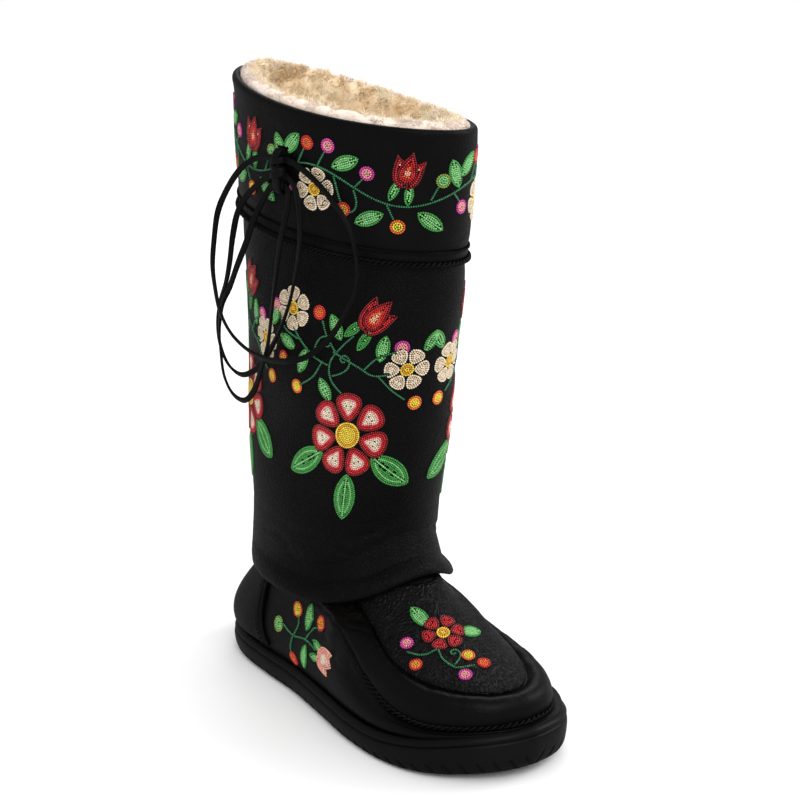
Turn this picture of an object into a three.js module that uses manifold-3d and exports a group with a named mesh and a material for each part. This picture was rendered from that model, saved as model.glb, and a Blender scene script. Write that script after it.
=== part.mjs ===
// A right mukluk boot: cupped rubber sole, moccasin foot, tall shaft, folded cuff,
// shearling lining and a leather tie. Millimetres, +Z up, toe towards -Y,
// outer side towards -X, standing on z = 0.
import * as THREE from 'three';
import { mergeVertices } from 'three/addons/utils/BufferGeometryUtils.js';
import Module from 'manifold-3d';

const wasm = await Module();
wasm.setup();

// Driving dimensions
const LENGTH = 290; // sole, heel to toe
const BALL_WIDTH = 116; // sole across the ball
const TOE_SPRING = 7; // lift of the sole's tip
const GROOVE_HEIGHT = 20; // line around the side of the sole, at the toe
const GROOVE_DEPTH = 1.4;
const RIM_HEIGHT = 24; // top of the sole's cup, at the toe
const HEEL_DROP = 6.6; // how much lower groove and rim run behind the ball
const CUP_FLOOR = 13; // tread's thickness under the foot
const CUP_WALL = 6.2; // thickness of the cup's wall
const ARCH_RISE = 3.5; // hollow under the arch
const TREAD_DEPTH = 3.2;
const TREAD_MARGIN = 12; // plain border of the tread beside its channels
const TREAD_LEAN = 0.12; // turn of the channels, one way and the other
const TREAD_GAP = 3.6;
const SIPE_WIDTH = 1.4;
const SIPE_HEIGHT = 6;
const SIPE_LEAN = 0.6;
const SIPE_DEPTH = 2.4;
const SIPE_PITCH = 13;
const INSOLE_THICKNESS = 4;
const INSTEP_HEIGHT = 92; // top of the foot at the ankle's front
const FRONT_EDGE_HEIGHT = 91; // shaft's lower edge at the front
const HEEL_EDGE_HEIGHT = 70; // shaft's lower edge at the back
const EDGE_SWEEP = 7.5; // how late the lower edge climbs towards the front
const VAMP_WALL = 2.2;
const ROLL_HEIGHT = 4; // how proud the gathered roll stands
const APRON_THICKNESS = 1.4;
const COUNTER_THICKNESS = 1.5;
const COLLAR_HEIGHT = 371.5; // middle of the collar
const COLLAR_SLOPE = 0.065; // rise of the collar towards the heel
const COLLAR_TILT = 0.09; // rise of the collar towards the outer side
const COLLAR_BOW = 2.1; // how far front and back stand above the sides
const SHAFT_WIDTH = 99; // shaft across, at the collar
const SHAFT_DEPTH = 195; // shaft front to back, at the collar
const SHAFT_WALL = 2.4;
const CUFF_DEPTH = 80; // collar down to the roped seam
const CUFF_WALL = 2.2;
const ROPE_RADIUS = 1.8; // roped seam at the cuff's lower edge
const TAPE_WIDTH = 8.4; // between the roped seam and the fine seam above it
const LIP_DEPTH = 5; // how far the cuff folds over the shaft's top
const FLEECE_THICKNESS = 8.5;
const FLEECE_STAND = 3; // how far the wool stands above the lip
const FLEECE_FOOT = 0.12; // lower end of the lining, as a share of the shaft's rise
const LOCK_LENGTH = 7;
const LOCK_RADIUS = 4.8;
const LOCK_COUNT = 18;
const TIE_TURN = 1.63; // place of the tie around the cuff
const TIE_DROP = 38; // place of the tie below the collar
const STRAP_WIDTH = 5.5;
const STRAP_THICKNESS = 2;
const STRAP_SPAN = 23; // between the strap's two legs
const CORD_DIAMETER = 3.6;
const CLEARANCE = 0.3; // between pieces that lie on each other

// Half widths of the sole every 15 degrees of its turn from heel to toe, as shares of BALL_WIDTH
const PLAN = [
  { lateral: 0, medial: 0 },
  { lateral: 0.148, medial: 0.148 },
  { lateral: 0.283, medial: 0.283 },
  { lateral: 0.36, medial: 0.355 },
  { lateral: 0.393, medial: 0.373 },
  { lateral: 0.416, medial: 0.363 },
  { lateral: 0.47, medial: 0.37 },
  { lateral: 0.527, medial: 0.433 },
  { lateral: 0.537, medial: 0.468 },
  { lateral: 0.478, medial: 0.438 },
  { lateral: 0.335, medial: 0.334 },
  { lateral: 0.168, medial: 0.188 },
  { lateral: 0, medial: 0 },
];
const WIDEST_LATERAL = 0.537;
const WIDEST_MEDIAL = 0.468;

// Rings of the foot from the seam over the sole up to the opening in the shaft. front and back are
// shares of half LENGTH; lateral and medial are half widths as shares of BALL_WIDTH; oval turns the
// sole's plan into an ellipse; pinch draws the ring in beside the instep and taper from there to the
// toe; heel to toe are heights between the toe's rim (0) and the instep (1); spring is the share of
// the toe's lift.
const FOOT = [
  { front: -0.972, back: 0.962, lateral: 0.512, medial: 0.442, oval: 0, pinch: 0, taper: 0,
    heel: 0.15, waist: 0.19, middle: 0.22, ball: 0.05, toe: 0.01, spring: 1 },
  { front: -0.955, back: 0.866, lateral: 0.488, medial: 0.422, oval: 0, pinch: 0, taper: 0,
    heel: 0.43, waist: 0.45, middle: 0.44, ball: 0.09, toe: 0.02, spring: 1 },
  { front: -0.928, back: 0.762, lateral: 0.464, medial: 0.395, oval: 0.1, pinch: 0, taper: 0,
    heel: 0.64, waist: 0.64, middle: 0.6, ball: 0.13, toe: 0.03, spring: 1 },
  { front: -0.915, back: 0.76, lateral: 0.447, medial: 0.37, oval: 0.15, pinch: 0.08, taper: 0,
    heel: 0.68, waist: 0.68, middle: 0.64, ball: 0.26, toe: 0.15, spring: 0.9 },
  { front: -0.89, back: 0.76, lateral: 0.42, medial: 0.342, oval: 0.2, pinch: 0.2, taper: 0,
    heel: 0.72, waist: 0.72, middle: 0.67, ball: 0.37, toe: 0.24, spring: 0.75 },
  { front: -0.836, back: 0.76, lateral: 0.385, medial: 0.311, oval: 0.3, pinch: 0.3, taper: 0,
    heel: 0.76, waist: 0.76, middle: 0.71, ball: 0.43, toe: 0.27, spring: 0.6 },
  { front: -0.76, back: 0.76, lateral: 0.345, medial: 0.278, oval: 0.4, pinch: 0.3, taper: 0,
    heel: 0.8, waist: 0.8, middle: 0.75, ball: 0.51, toe: 0.36, spring: 0.4 },
  { front: -0.58, back: 0.762, lateral: 0.315, medial: 0.298, oval: 0.6, pinch: 0.1, taper: 0.14,
    heel: 0.86, waist: 0.86, middle: 0.82, ball: 0.7, toe: 0.54, spring: 0 },
  { front: -0.36, back: 0.776, lateral: 0.33, medial: 0.306, oval: 0.8, pinch: 0, taper: 0.2,
    heel: 0.93, waist: 0.94, middle: 0.91, ball: 0.83, toe: 0.8, spring: 0 },
  { front: -0.15, back: 0.779, lateral: 0.36, medial: 0.34, oval: 1, pinch: 0, taper: 0.2,
    heel: 1.02, waist: 1.03, middle: 1.03, ball: 1.02, toe: 1.1, spring: 0 },
];
const SEAM_ROW = 4; // counted with the two rings in the cup
const GROOVE_ROW = 7;
const APRON_START = 7.15; // rows between which the apron lies
const APRON_END = 10.4;
const APRON_REACH = 8; // foot steps from the toe to the outer side
const APRON_INNER_REACH = 7; // the same to the inner side
const COUNTER_START = 1.3; // rows between which the heel counter lies
const COUNTER_END = 3.85;
const COUNTER_SPREAD_LOW = 1.07; // half turn that it spans at its lower and upper ends
const COUNTER_SPREAD_HIGH = 0.8;

// Sections of the shaft from its lower edge to the collar. rise is the share of the way up, width and
// depth are shares of SHAFT_WIDTH and SHAFT_DEPTH, centre is a share of LENGTH towards the heel.
const SHAFT = [
  { rise: 0, width: 1.061, depth: 0.781, centre: 0.131 },
  { rise: 0.012, width: 1.095, depth: 0.797, centre: 0.132 },
  { rise: 0.031, width: 1.08, depth: 0.779, centre: 0.139 },
  { rise: 0.056, width: 1.027, depth: 0.731, centre: 0.155 },
  { rise: 0.09, width: 1.02, depth: 0.722, centre: 0.156 },
  { rise: 0.21, width: 1.03, depth: 0.744, centre: 0.147 },
  { rise: 0.35, width: 1.03, depth: 0.79, centre: 0.134 },
  { rise: 0.5, width: 1.03, depth: 0.836, centre: 0.125 },
  { rise: 0.7, width: 1, depth: 0.903, centre: 0.119 },
  { rise: 0.85, width: 0.996, depth: 0.959, centre: 0.114 },
  { rise: 1, width: 1, depth: 1, centre: 0.11 },
];

// Loops of the tie, from under its strap and back: along is towards the heel, down is below the
// strap's middle, out is away from the cuff's face.
const WIDE_LOOP = [
  { along: 1, down: -7, out: 2.3 },
  { along: 15, down: -6, out: 3 },
  { along: 26, down: -3, out: 4 },
  { along: 38, down: 5, out: 6 },
  { along: 49, down: 18, out: 8 },
  { along: 57, down: 33, out: 10 },
  { along: 59, down: 50, out: 12 },
  { along: 60, down: 66, out: 13 },
  { along: 58, down: 80, out: 13 },
  { along: 53, down: 94, out: 13 },
  { along: 41, down: 105, out: 13 },
  { along: 23, down: 111, out: 13 },
  { along: 3, down: 112, out: 13 },
  { along: -16, down: 109, out: 11 },
  { along: -29, down: 104, out: 6 },
  { along: -41, down: 92, out: -1 },
  { along: -50, down: 76, out: -6 },
  { along: -57, down: 58, out: -9 },
  { along: -60, down: 40, out: -7 },
  { along: -56, down: 23, out: -5 },
  { along: -46, down: 11, out: -2 },
  { along: -34, down: 2, out: 0 },
  { along: -20, down: -5, out: 2 },
  { along: -8, down: -7.5, out: 2.6 },
  { along: -1.5, down: -7, out: 2.3 },
];
const NARROW_LOOP = [
  { along: 1, down: 0, out: 2.3 },
  { along: 14, down: 6, out: 3 },
  { along: 22, down: 11, out: 3.6 },
  { along: 34, down: 20, out: 4 },
  { along: 44, down: 32, out: 4.4 },
  { along: 50, down: 48, out: 4.6 },
  { along: 54, down: 64, out: 4.6 },
  { along: 59, down: 78, out: 4.6 },
  { along: 66, down: 91, out: 4.6 },
  { along: 70, down: 104, out: 4.6 },
  { along: 68, down: 118, out: 4.6 },
  { along: 60, down: 129, out: 4.6 },
  { along: 47, down: 133, out: 4.6 },
  { along: 34, down: 129, out: 4.6 },
  { along: 20, down: 119, out: 4.6 },
  { along: 4, down: 99, out: 4.6 },
  { along: -9, down: 77, out: 4.6 },
  { along: -18, down: 54, out: 5 },
  { along: -23, down: 35, out: 5.6 },
  { along: -20, down: 17, out: 4 },
  { along: -14, down: 6, out: 3 },
  { along: -1.5, down: 0, out: 2.3 },
];
const LONG_LOOP = [
  { along: 1, down: 7, out: 2.3 },
  { along: 10, down: 11, out: 2.8 },
  { along: 17, down: 20, out: 4 },
  { along: 24, down: 32, out: 6 },
  { along: 30, down: 47, out: 8 },
  { along: 39, down: 63, out: 9 },
  { along: 48, down: 78, out: 9 },
  { along: 57, down: 91, out: 9 },
  { along: 61, down: 107, out: 9 },
  { along: 60, down: 123, out: 9 },
  { along: 57, down: 136, out: 9 },
  { along: 48, down: 145, out: 9 },
  { along: 35, down: 146, out: 9 },
  { along: 24, down: 137, out: 9 },
  { along: 16, down: 122, out: 9 },
  { along: 8, down: 105, out: 9 },
  { along: 2, down: 77, out: 8.6 },
  { along: -3, down: 52, out: 8 },
  { along: -7, down: 34, out: 7 },
  { along: -9, down: 21, out: 4.5 },
  { along: -8, down: 12, out: 3 },
  { along: -5, down: 8, out: 2.5 },
  { along: -1.2, down: 7, out: 2.3 },
];

const HALF_LENGTH = LENGTH / 2;
const TURN = Math.PI * 2;
const SOLE_STEPS = 44;
const FOOT_STEPS = 36;
const SHAFT_STEPS = 36;

// A smooth value through evenly spaced rows of a table, at a place counted in rows
function smooth(values, place) {
  const last = values.length - 1;
  const low = Math.min(Math.max(Math.floor(place), 0), last - 1);
  const t = Math.min(Math.max(place - low, 0), 1);
  const p0 = values[Math.max(low - 1, 0)];
  const p1 = values[low];
  const p2 = values[low + 1];
  const p3 = values[Math.min(low + 2, last)];
  const bend = 2 * p1 - 2 * p2 + (p2 - p0) / 2 + (p3 - p1) / 2;
  const slope = (p2 - p0) / 2;
  return p1 + slope * t + (p2 - p1 - slope - bend) * t * t + bend * t * t * t;
}

function mix(a, b, share) {
  return a + (b - a) * share;
}

function step(low, high, value) {
  const t = Math.min(Math.max((value - low) / (high - low), 0), 1);
  return t * t * (3 - 2 * t);
}

// Lift of sole and vamp towards the toe
function spring(y) {
  const start = -0.22 * LENGTH;
  const share = Math.max((start - y) / (HALF_LENGTH + start), 0);
  return TOE_SPRING * share * share;
}

// How far groove and rim lie below their height at the toe
function heelDrop(y) {
  return HEEL_DROP * step(-0.48 * LENGTH, -0.17 * LENGTH, y);
}

// Turns run from the heel (0) along the outer side to the toe (half a turn) and back
const LATERALS = PLAN.map((row) => row.lateral / WIDEST_LATERAL);
const MEDIALS = PLAN.map((row) => row.medial / WIDEST_MEDIAL);

function planShare(turn, oval) {
  const angle = turn <= Math.PI ? turn : TURN - turn;
  const table = turn <= Math.PI ? LATERALS : MEDIALS;
  const last = smooth(table, (angle / Math.PI) * (table.length - 1));
  return mix(last, Math.sin(angle), oval);
}

function ringPlan(ring, turn) {
  const middle = (ring.front + ring.back) / 2;
  const reach = (ring.back - ring.front) / 2;
  const side = turn <= Math.PI ? -ring.lateral : ring.medial;
  const along = (1 - Math.cos(turn)) / 2;
  const beside = step(0.4, 0.56, along) * (1 - step(0.5, 0.8, along));
  const drawn = (1 - ring.pinch * beside) * (1 - ring.taper * step(0.42, 0.62, along));
  const width = side * planShare(turn, ring.oval) * drawn;
  return new THREE.Vector2(width, middle + reach * Math.cos(turn));
}

// A ring's point moved out of the ring, square to it
function ringOffset(ring, turn, out) {
  const nudge = 0.01;
  const point = ringPlan(ring, turn);
  const before = ringPlan(ring, (turn - nudge + TURN) % TURN);
  const after = ringPlan(ring, (turn + nudge) % TURN);
  const along = after.sub(before).normalize();
  return point.add(new THREE.Vector2(along.y, -along.x).multiplyScalar(out));
}

// The sole's plan, drawn in by an inset
function soleRing(inset) {
  return {
    front: -(HALF_LENGTH - inset),
    back: HALF_LENGTH - inset,
    lateral: WIDEST_LATERAL * BALL_WIDTH - inset,
    medial: WIDEST_MEDIAL * BALL_WIDTH - inset,
    oval: 0,
    pinch: 0,
    taper: 0,
  };
}

// Geometry helpers
function makeGeometry(points, triangles) {
  const geometry = new THREE.BufferGeometry();
  const flat = points.flatMap((p) => [p.x, p.y, p.z]);
  geometry.setAttribute('position', new THREE.Float32BufferAttribute(flat, 3));
  geometry.setIndex(triangles.flat());
  return facingOut(geometry);
}

function facingOut(geometry) {
  const p = geometry.attributes.position;
  const index = geometry.index.array;
  const corner = [new THREE.Vector3(), new THREE.Vector3(), new THREE.Vector3()];
  let volume = 0;
  for (let i = 0; i < index.length; i += 3) {
    corner.forEach((c, k) => c.fromBufferAttribute(p, index[i + k]));
    volume += corner[0].dot(corner[1].clone().cross(corner[2]));
  }
  if (volume < 0) {
    for (let i = 0; i < index.length; i += 3) {
      [index[i + 1], index[i + 2]] = [index[i + 2], index[i + 1]];
    }
  }
  return geometry;
}

// A closed wall of rings: each ring joins the next, and the last joins the first
function ringWall(rings) {
  const count = rings[0].length;
  const triangles = [];
  rings.forEach((ring, r) => {
    const base = r * count;
    const next = ((r + 1) % rings.length) * count;
    for (let i = 0; i < count; i += 1) {
      const j = (i + 1) % count;
      triangles.push([base + i, base + j, next + j], [base + i, next + j, next + i]);
    }
  });
  return makeGeometry(rings.flat(), triangles);
}

// Rings closed at both ends by strips from the outer side to the inner side
function ringBlock(rings) {
  const count = rings[0].length;
  const triangles = [];
  for (let r = 0; r < rings.length - 1; r += 1) {
    for (let i = 0; i < count; i += 1) {
      const j = (i + 1) % count;
      const low = r * count;
      const high = low + count;
      triangles.push([low + i, low + j, high + j], [low + i, high + j, high + i]);
    }
  }
  const cap = (base, flip) => {
    for (let i = 0; i < count / 2; i += 1) {
      const quad = [base + i, base + i + 1, base + ((count - i - 1) % count), base + ((count - i) % count)];
      const halves = [[quad[0], quad[2], quad[1]], [quad[0], quad[3], quad[2]]];
      halves.filter((t) => new Set(t).size === 3).forEach((t) => triangles.push(flip ? [t[0], t[2], t[1]] : t));
    }
  };
  cap(0, false);
  cap((rings.length - 1) * count, true);
  return makeGeometry(rings.flat(), triangles);
}

// A thin patch between two grids of points, each a list of rows
function patch(outer, inner) {
  const rows = outer.length;
  const columns = outer[0].length;
  const size = rows * columns;
  const triangles = [];
  const at = (r, c, side) => side * size + r * columns + c;
  for (let r = 0; r < rows - 1; r += 1) {
    for (let c = 0; c < columns - 1; c += 1) {
      triangles.push([at(r, c, 0), at(r, c + 1, 0), at(r + 1, c + 1, 0)]);
      triangles.push([at(r, c, 0), at(r + 1, c + 1, 0), at(r + 1, c, 0)]);
      triangles.push([at(r, c, 1), at(r + 1, c + 1, 1), at(r, c + 1, 1)]);
      triangles.push([at(r, c, 1), at(r + 1, c, 1), at(r + 1, c + 1, 1)]);
    }
  }
  const border = [];
  for (let c = 0; c < columns - 1; c += 1) border.push([0, c]);
  for (let r = 0; r < rows - 1; r += 1) border.push([r, columns - 1]);
  for (let c = columns - 1; c > 0; c -= 1) border.push([rows - 1, c]);
  for (let r = rows - 1; r > 0; r -= 1) border.push([r, 0]);
  border.forEach(([r, c], i) => {
    const [nextR, nextC] = border[(i + 1) % border.length];
    triangles.push([at(r, c, 0), at(r, c, 1), at(nextR, nextC, 1)]);
    triangles.push([at(r, c, 0), at(nextR, nextC, 1), at(nextR, nextC, 0)]);
  });
  return makeGeometry([...outer.flat(), ...inner.flat()], triangles);
}

function toSolid(geometry) {
  const bare = geometry.clone();
  bare.deleteAttribute('normal');
  bare.deleteAttribute('uv');
  const merged = mergeVertices(bare, 1e-4);
  return new wasm.Manifold(new wasm.Mesh({
    numProp: 3,
    vertProperties: new Float32Array(merged.attributes.position.array),
    triVerts: new Uint32Array(merged.index.array),
  }));
}

function fromSolid(solid) {
  const mesh = solid.getMesh();
  const geometry = new THREE.BufferGeometry();
  geometry.setAttribute('position', new THREE.BufferAttribute(mesh.vertProperties, 3));
  geometry.setIndex(new THREE.BufferAttribute(mesh.triVerts, 1));
  return geometry;
}

function turns(count) {
  return Array.from({ length: count }, (_, i) => (i / count) * TURN);
}

const boot = new THREE.Group();

function addPiece(name, geometry, color, roughness) {
  const material = new THREE.MeshStandardMaterial({ color, roughness, metalness: 0 });
  const mesh = new THREE.Mesh(geometry, material);
  mesh.name = name;
  boot.add(mesh);
  return mesh;
}

// Outsole: a cup with a grooved side, slanted sipes, an arch and tread bars
const GROOVE_BEAD = 1.3; // half height of the groove
const GROOVE_LINE = GROOVE_HEIGHT - GROOVE_BEAD;

function archRise(y) {
  return ARCH_RISE * step(-0.1 * LENGTH, 0, y) * (1 - step(0.06 * LENGTH, 0.16 * LENGTH, y));
}

function soleSection(inset, height, arch = 0) {
  return turns(SOLE_STEPS).map((turn) => {
    const p = ringOffset(soleRing(0), turn, -inset);
    const drop = heelDrop(p.y) * Math.min(height / GROOVE_LINE, 1);
    return new THREE.Vector3(p.x, p.y, height - drop + spring(p.y) + arch * archRise(p.y));
  });
}

// The cup's inside follows the foot's lowest ring
function cupSection(out, height) {
  return turns(SOLE_STEPS).map((turn) => {
    const p = ringOffset(soleRing(CUP_WALL + CLEARANCE), turn, CLEARANCE * 1.8 + out);
    const drop = height > CUP_FLOOR ? heelDrop(p.y) : 0;
    return new THREE.Vector3(p.x, p.y, height - drop + spring(p.y));
  });
}

function cutterAt(turn, width, depth, height, lean) {
  const nudge = 0.02;
  const here = ringOffset(soleRing(0), turn, 0);
  const there = ringOffset(soleRing(0), turn + nudge, 0);
  const cutter = new THREE.Mesh(new THREE.BoxGeometry(width, depth * 2, height * 2));
  cutter.rotation.order = 'ZYX';
  cutter.rotation.z = Math.atan2(there.y - here.y, there.x - here.x);
  cutter.rotation.y = lean;
  cutter.position.set(here.x, here.y, spring(here.y));
  cutter.updateMatrixWorld();
  return toSolid(cutter.geometry.applyMatrix4(cutter.matrixWorld));
}

function makeOutsole() {
  const edge = 3.4; // rounding of the sole's lower edge
  const rings = [
    soleSection(TREAD_MARGIN + 2, 0, 1),
    soleSection(9, 0),
    soleSection(edge + 1, 0),
    soleSection(0.9, edge),
    soleSection(0, GROOVE_HEIGHT * 0.5),
    soleSection(0.2, GROOVE_LINE),
    soleSection(GROOVE_DEPTH, GROOVE_HEIGHT - GROOVE_BEAD * 0.3),
    soleSection(GROOVE_DEPTH, GROOVE_HEIGHT + GROOVE_BEAD * 0.3),
    soleSection(0.5, GROOVE_HEIGHT + GROOVE_BEAD),
    soleSection(1, RIM_HEIGHT - 1),
    soleSection(2.2, RIM_HEIGHT),
    cupSection(1, RIM_HEIGHT),
    cupSection(0, RIM_HEIGHT - 1),
    cupSection(0, CUP_FLOOR),
  ];
  let sole = toSolid(ringBlock(rings));
  let around = 0;
  const walk = 0.01;
  let last = ringPlan(soleRing(0), 0);
  for (let turn = walk; turn < TURN; turn += walk) {
    const here = ringPlan(soleRing(0), turn);
    around += here.distanceTo(last);
    last = here;
    if (around < SIPE_PITCH) continue;
    around = 0;
    const lean = turn < Math.PI ? -SIPE_LEAN : SIPE_LEAN;
    sole = sole.subtract(cutterAt(turn, SIPE_WIDTH, SIPE_DEPTH, SIPE_HEIGHT, lean));
  }
  for (const bar of treadBars()) sole = sole.subtract(bar);
  return fromSolid(sole);
}

// Channels across forefoot and heel that leave bars between them
function treadBars() {
  const zones = [
    { from: -0.43, to: -0.13, count: 8 },
    { from: 0.19, to: 0.42, count: 6 },
  ];
  const bars = [];
  for (const zone of zones) {
    for (let i = 0; i < zone.count; i += 1) {
      const y = mix(zone.from, zone.to, i / (zone.count - 1)) * LENGTH;
      const turn = Math.acos(y / HALF_LENGTH);
      const left = ringPlan(soleRing(0), turn).x;
      const right = ringPlan(soleRing(0), TURN - turn).x;
      const width = (right - left) - TREAD_MARGIN * 2;
      const bar = new THREE.Mesh(new THREE.BoxGeometry(width, TREAD_GAP, TREAD_DEPTH * 2));
      bar.position.set((left + right) / 2, y, spring(y));
      bar.rotation.z = i % 2 ? TREAD_LEAN : -TREAD_LEAN;
      bar.updateMatrixWorld();
      bars.push(toSolid(bar.geometry.applyMatrix4(bar.matrixWorld)));
    }
  }
  return bars;
}

addPiece('outsole', makeOutsole(), 0x121212, 0.62);

// Foot: one hollow wall from the cup's floor to the opening under the shaft
const FLOOR_GAP = CUP_FLOOR + CLEARANCE;
const FOOT_RINGS = [
  { ...soleRing(CUP_WALL + CLEARANCE), level: FLOOR_GAP, spring: 1 },
  { ...soleRing(CUP_WALL + CLEARANCE), level: RIM_HEIGHT, spring: 1, drop: 1 },
  ...FOOT.map((row) => ({
    front: row.front * HALF_LENGTH,
    back: row.back * HALF_LENGTH,
    lateral: row.lateral * BALL_WIDTH,
    medial: row.medial * BALL_WIDTH,
    oval: row.oval,
    pinch: row.pinch,
    taper: row.taper,
    stations: [row.heel, row.waist, row.middle, row.ball, row.toe],
    spring: row.spring,
  })),
];
const TOP_ROW = FOOT_RINGS.length - 1;

function ringHeight(ring, turn, y) {
  const lift = ring.spring * spring(y);
  if (ring.stations === undefined) return ring.level - (ring.drop ?? 0) * heelDrop(y) + lift;
  const along = (1 - Math.cos(turn)) / 2;
  const share = smooth(ring.stations, along * (ring.stations.length - 1));
  return mix(RIM_HEIGHT, INSTEP_HEIGHT, share) + lift;
}

// Points of every ring at each turn, then a smooth curve through them up the foot
function footBase(turn, row) {
  const column = FOOT_RINGS.map((ring) => {
    const p = ringPlan(ring, turn);
    return new THREE.Vector3(p.x, p.y, ringHeight(ring, turn, p.y));
  });
  const pick = (axis) => smooth(column.map((p) => p[axis]), row);
  return new THREE.Vector3(pick('x'), pick('y'), pick('z'));
}

function footNormal(turn, row) {
  const nudge = 0.03;
  const low = Math.max(row - nudge, 0);
  const high = Math.min(row + nudge, TOP_ROW);
  const up = footBase(turn, high).sub(footBase(turn, low));
  const around = footBase((turn + nudge) % TURN, row).sub(footBase((turn - nudge + TURN) % TURN, row));
  return around.cross(up).normalize();
}

function footPoint(turn, row, lift) {
  return footBase(turn, row).addScaledVector(footNormal(turn, row), lift);
}

// The gathered roll runs around the toe and fades out under the shaft
function rollLift(turn, row) {
  const along = (1 - Math.cos(turn)) / 2;
  const fade = step(0.5, 0.62, along);
  const share = (row - SEAM_ROW) / (GROOVE_ROW - SEAM_ROW);
  if (share <= 0 || share >= 1) return 0;
  return ROLL_HEIGHT * fade * Math.pow(Math.sin(Math.PI * share), 0.6);
}

function footRing(row, lift) {
  return turns(FOOT_STEPS).map((turn) => footPoint(turn, row, lift(turn, row)));
}

// Rows of the foot under the plug, which is skived from the fourth on
const SKIVE_ROW = 8.5;
const PLUG_ROWS = [APRON_START, 7.5, 8, SKIVE_ROW, 9, 9.5, 10, APRON_END];

function makeUpper() {
  const heelRows = [0, 1, 1.6, 2, 2.5, 3, 3.5];
  const rollRows = [SEAM_ROW, 4.35, 5, 5.7, 6.4, GROOVE_ROW];
  const outerRows = [...heelRows, ...rollRows, ...PLUG_ROWS, TOP_ROW];
  const innerRows = [TOP_ROW, APRON_END, 10, 9.5, 9, 8, GROOVE_ROW, 5.7, SEAM_ROW, 3, 2, 1, 0];
  const outer = outerRows.map((row) => footRing(row, rollLift));
  const inner = innerRows.map((row) => footRing(row, () => -VAMP_WALL));
  return ringWall([...outer, ...inner]);
}

addPiece('upper', makeUpper(), 0x171717, 0.55);

// A grid over the foot's skin with its own turns and thickness for each row
function footOverlay(rows, columns, turnAt, thickness) {
  const grid = (lift) => rows.map((row) => Array.from({ length: columns }, (_, c) => (
    footPoint((turnAt(row, c / (columns - 1)) + TURN) % TURN, row, lift(row))
  )));
  const gap = CLEARANCE * 1.5;
  return patch(grid((row) => gap + thickness(row)), grid(() => gap));
}

// Apron: the plug on top of the foot, inside the roll
function makeApron() {
  const place = (share) => Math.min(share * 2 - 1, APRON_INNER_REACH / APRON_REACH) * APRON_REACH;
  const columns = APRON_REACH * 2 + 1;
  const turnAt = (row, share) => Math.PI + (place(share) / FOOT_STEPS) * TURN;
  // Skived thinner where it goes under the shaft
  const thickness = (row) => APRON_THICKNESS * (1 - 0.5 * step(SKIVE_ROW, APRON_END, row));
  return footOverlay(PLUG_ROWS, columns, turnAt, thickness);
}

addPiece('apron', makeApron(), 0x191919, 0.6);

// Heel counter: wraps the heel between the rim and the shaft's lower edge
function makeCounter() {
  const rows = [COUNTER_START, 1.6, 2, 2.5, 3, 3.5, COUNTER_END];
  const reach = (row) => {
    const share = (row - COUNTER_START) / (COUNTER_END - COUNTER_START);
    return mix(COUNTER_SPREAD_LOW, COUNTER_SPREAD_HIGH, share);
  };
  return footOverlay(rows, 21, (row, share) => mix(-1, 1, share) * reach(row), () => COUNTER_THICKNESS);
}

addPiece('heel_counter', makeCounter(), 0x1c1c1c, 0.6);

function insoleSection(height) {
  return turns(FOOT_STEPS).map((turn) => {
    const p = ringOffset(soleRing(CUP_WALL + CLEARANCE), turn, -(VAMP_WALL + CLEARANCE));
    return new THREE.Vector3(p.x, p.y, height + spring(p.y));
  });
}

addPiece('insole', ringBlock([
  insoleSection(FLOOR_GAP),
  insoleSection(FLOOR_GAP + INSOLE_THICKNESS),
]), 0xc9a98c, 0.95);

// Shaft: an oval tube whose lower edge puffs out and dips over the foot
function shaftSection(rise) {
  let low = 0;
  while (low < SHAFT.length - 2 && SHAFT[low + 1].rise < rise) low += 1;
  const place = low + (rise - SHAFT[low].rise) / (SHAFT[low + 1].rise - SHAFT[low].rise);
  const pick = (key) => smooth(SHAFT.map((row) => row[key]), place);
  return {
    halfWidth: (pick('width') * SHAFT_WIDTH) / 2,
    halfDepth: (pick('depth') * SHAFT_DEPTH) / 2,
    centre: pick('centre') * LENGTH,
  };
}

function edgeHeight(turn) {
  const ahead = (1 - Math.cos(turn)) / 2;
  return mix(HEEL_EDGE_HEIGHT, FRONT_EDGE_HEIGHT, Math.pow(ahead, EDGE_SWEEP));
}

function collarHeight(turn) {
  const slope = COLLAR_SLOPE * (SHAFT_DEPTH / 2) * Math.cos(turn);
  const tilt = COLLAR_TILT * (SHAFT_WIDTH / 2) * Math.sin(turn);
  return COLLAR_HEIGHT + slope + tilt + COLLAR_BOW * Math.cos(2 * turn);
}

function shaftPoint(turn, rise, out) {
  const s = shaftSection(rise);
  const normal = new THREE.Vector2(-Math.sin(turn) / s.halfWidth, Math.cos(turn) / s.halfDepth).normalize();
  return new THREE.Vector3(
    -s.halfWidth * Math.sin(turn) + normal.x * out,
    s.centre + s.halfDepth * Math.cos(turn) + normal.y * out,
    mix(edgeHeight(turn), collarHeight(turn), rise),
  );
}

function shaftRing(rise, out) {
  return turns(SHAFT_STEPS).map((turn) => shaftPoint(turn, rise, out));
}

// A ring that keeps its drop below the collar all round
function collarRing(drop, out) {
  return turns(SHAFT_STEPS).map((turn) => {
    const height = collarHeight(turn) - edgeHeight(turn);
    return shaftPoint(turn, 1 - drop / height, out);
  });
}

function makeShaft() {
  const rises = SHAFT.map((row) => row.rise).slice(0, -1);
  const outer = rises.map((rise) => shaftRing(rise, 0));
  const innerRises = [0.85, 0.7, 0.5, 0.35, 0.21, 0.105, 0.04, 0];
  const inner = innerRises.map((rise) => shaftRing(rise, -SHAFT_WALL));
  return ringWall([...outer, collarRing(LIP_DEPTH, 0), collarRing(LIP_DEPTH, -SHAFT_WALL), ...inner]);
}

addPiece('shaft', makeShaft(), 0x171717, 0.5);

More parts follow.
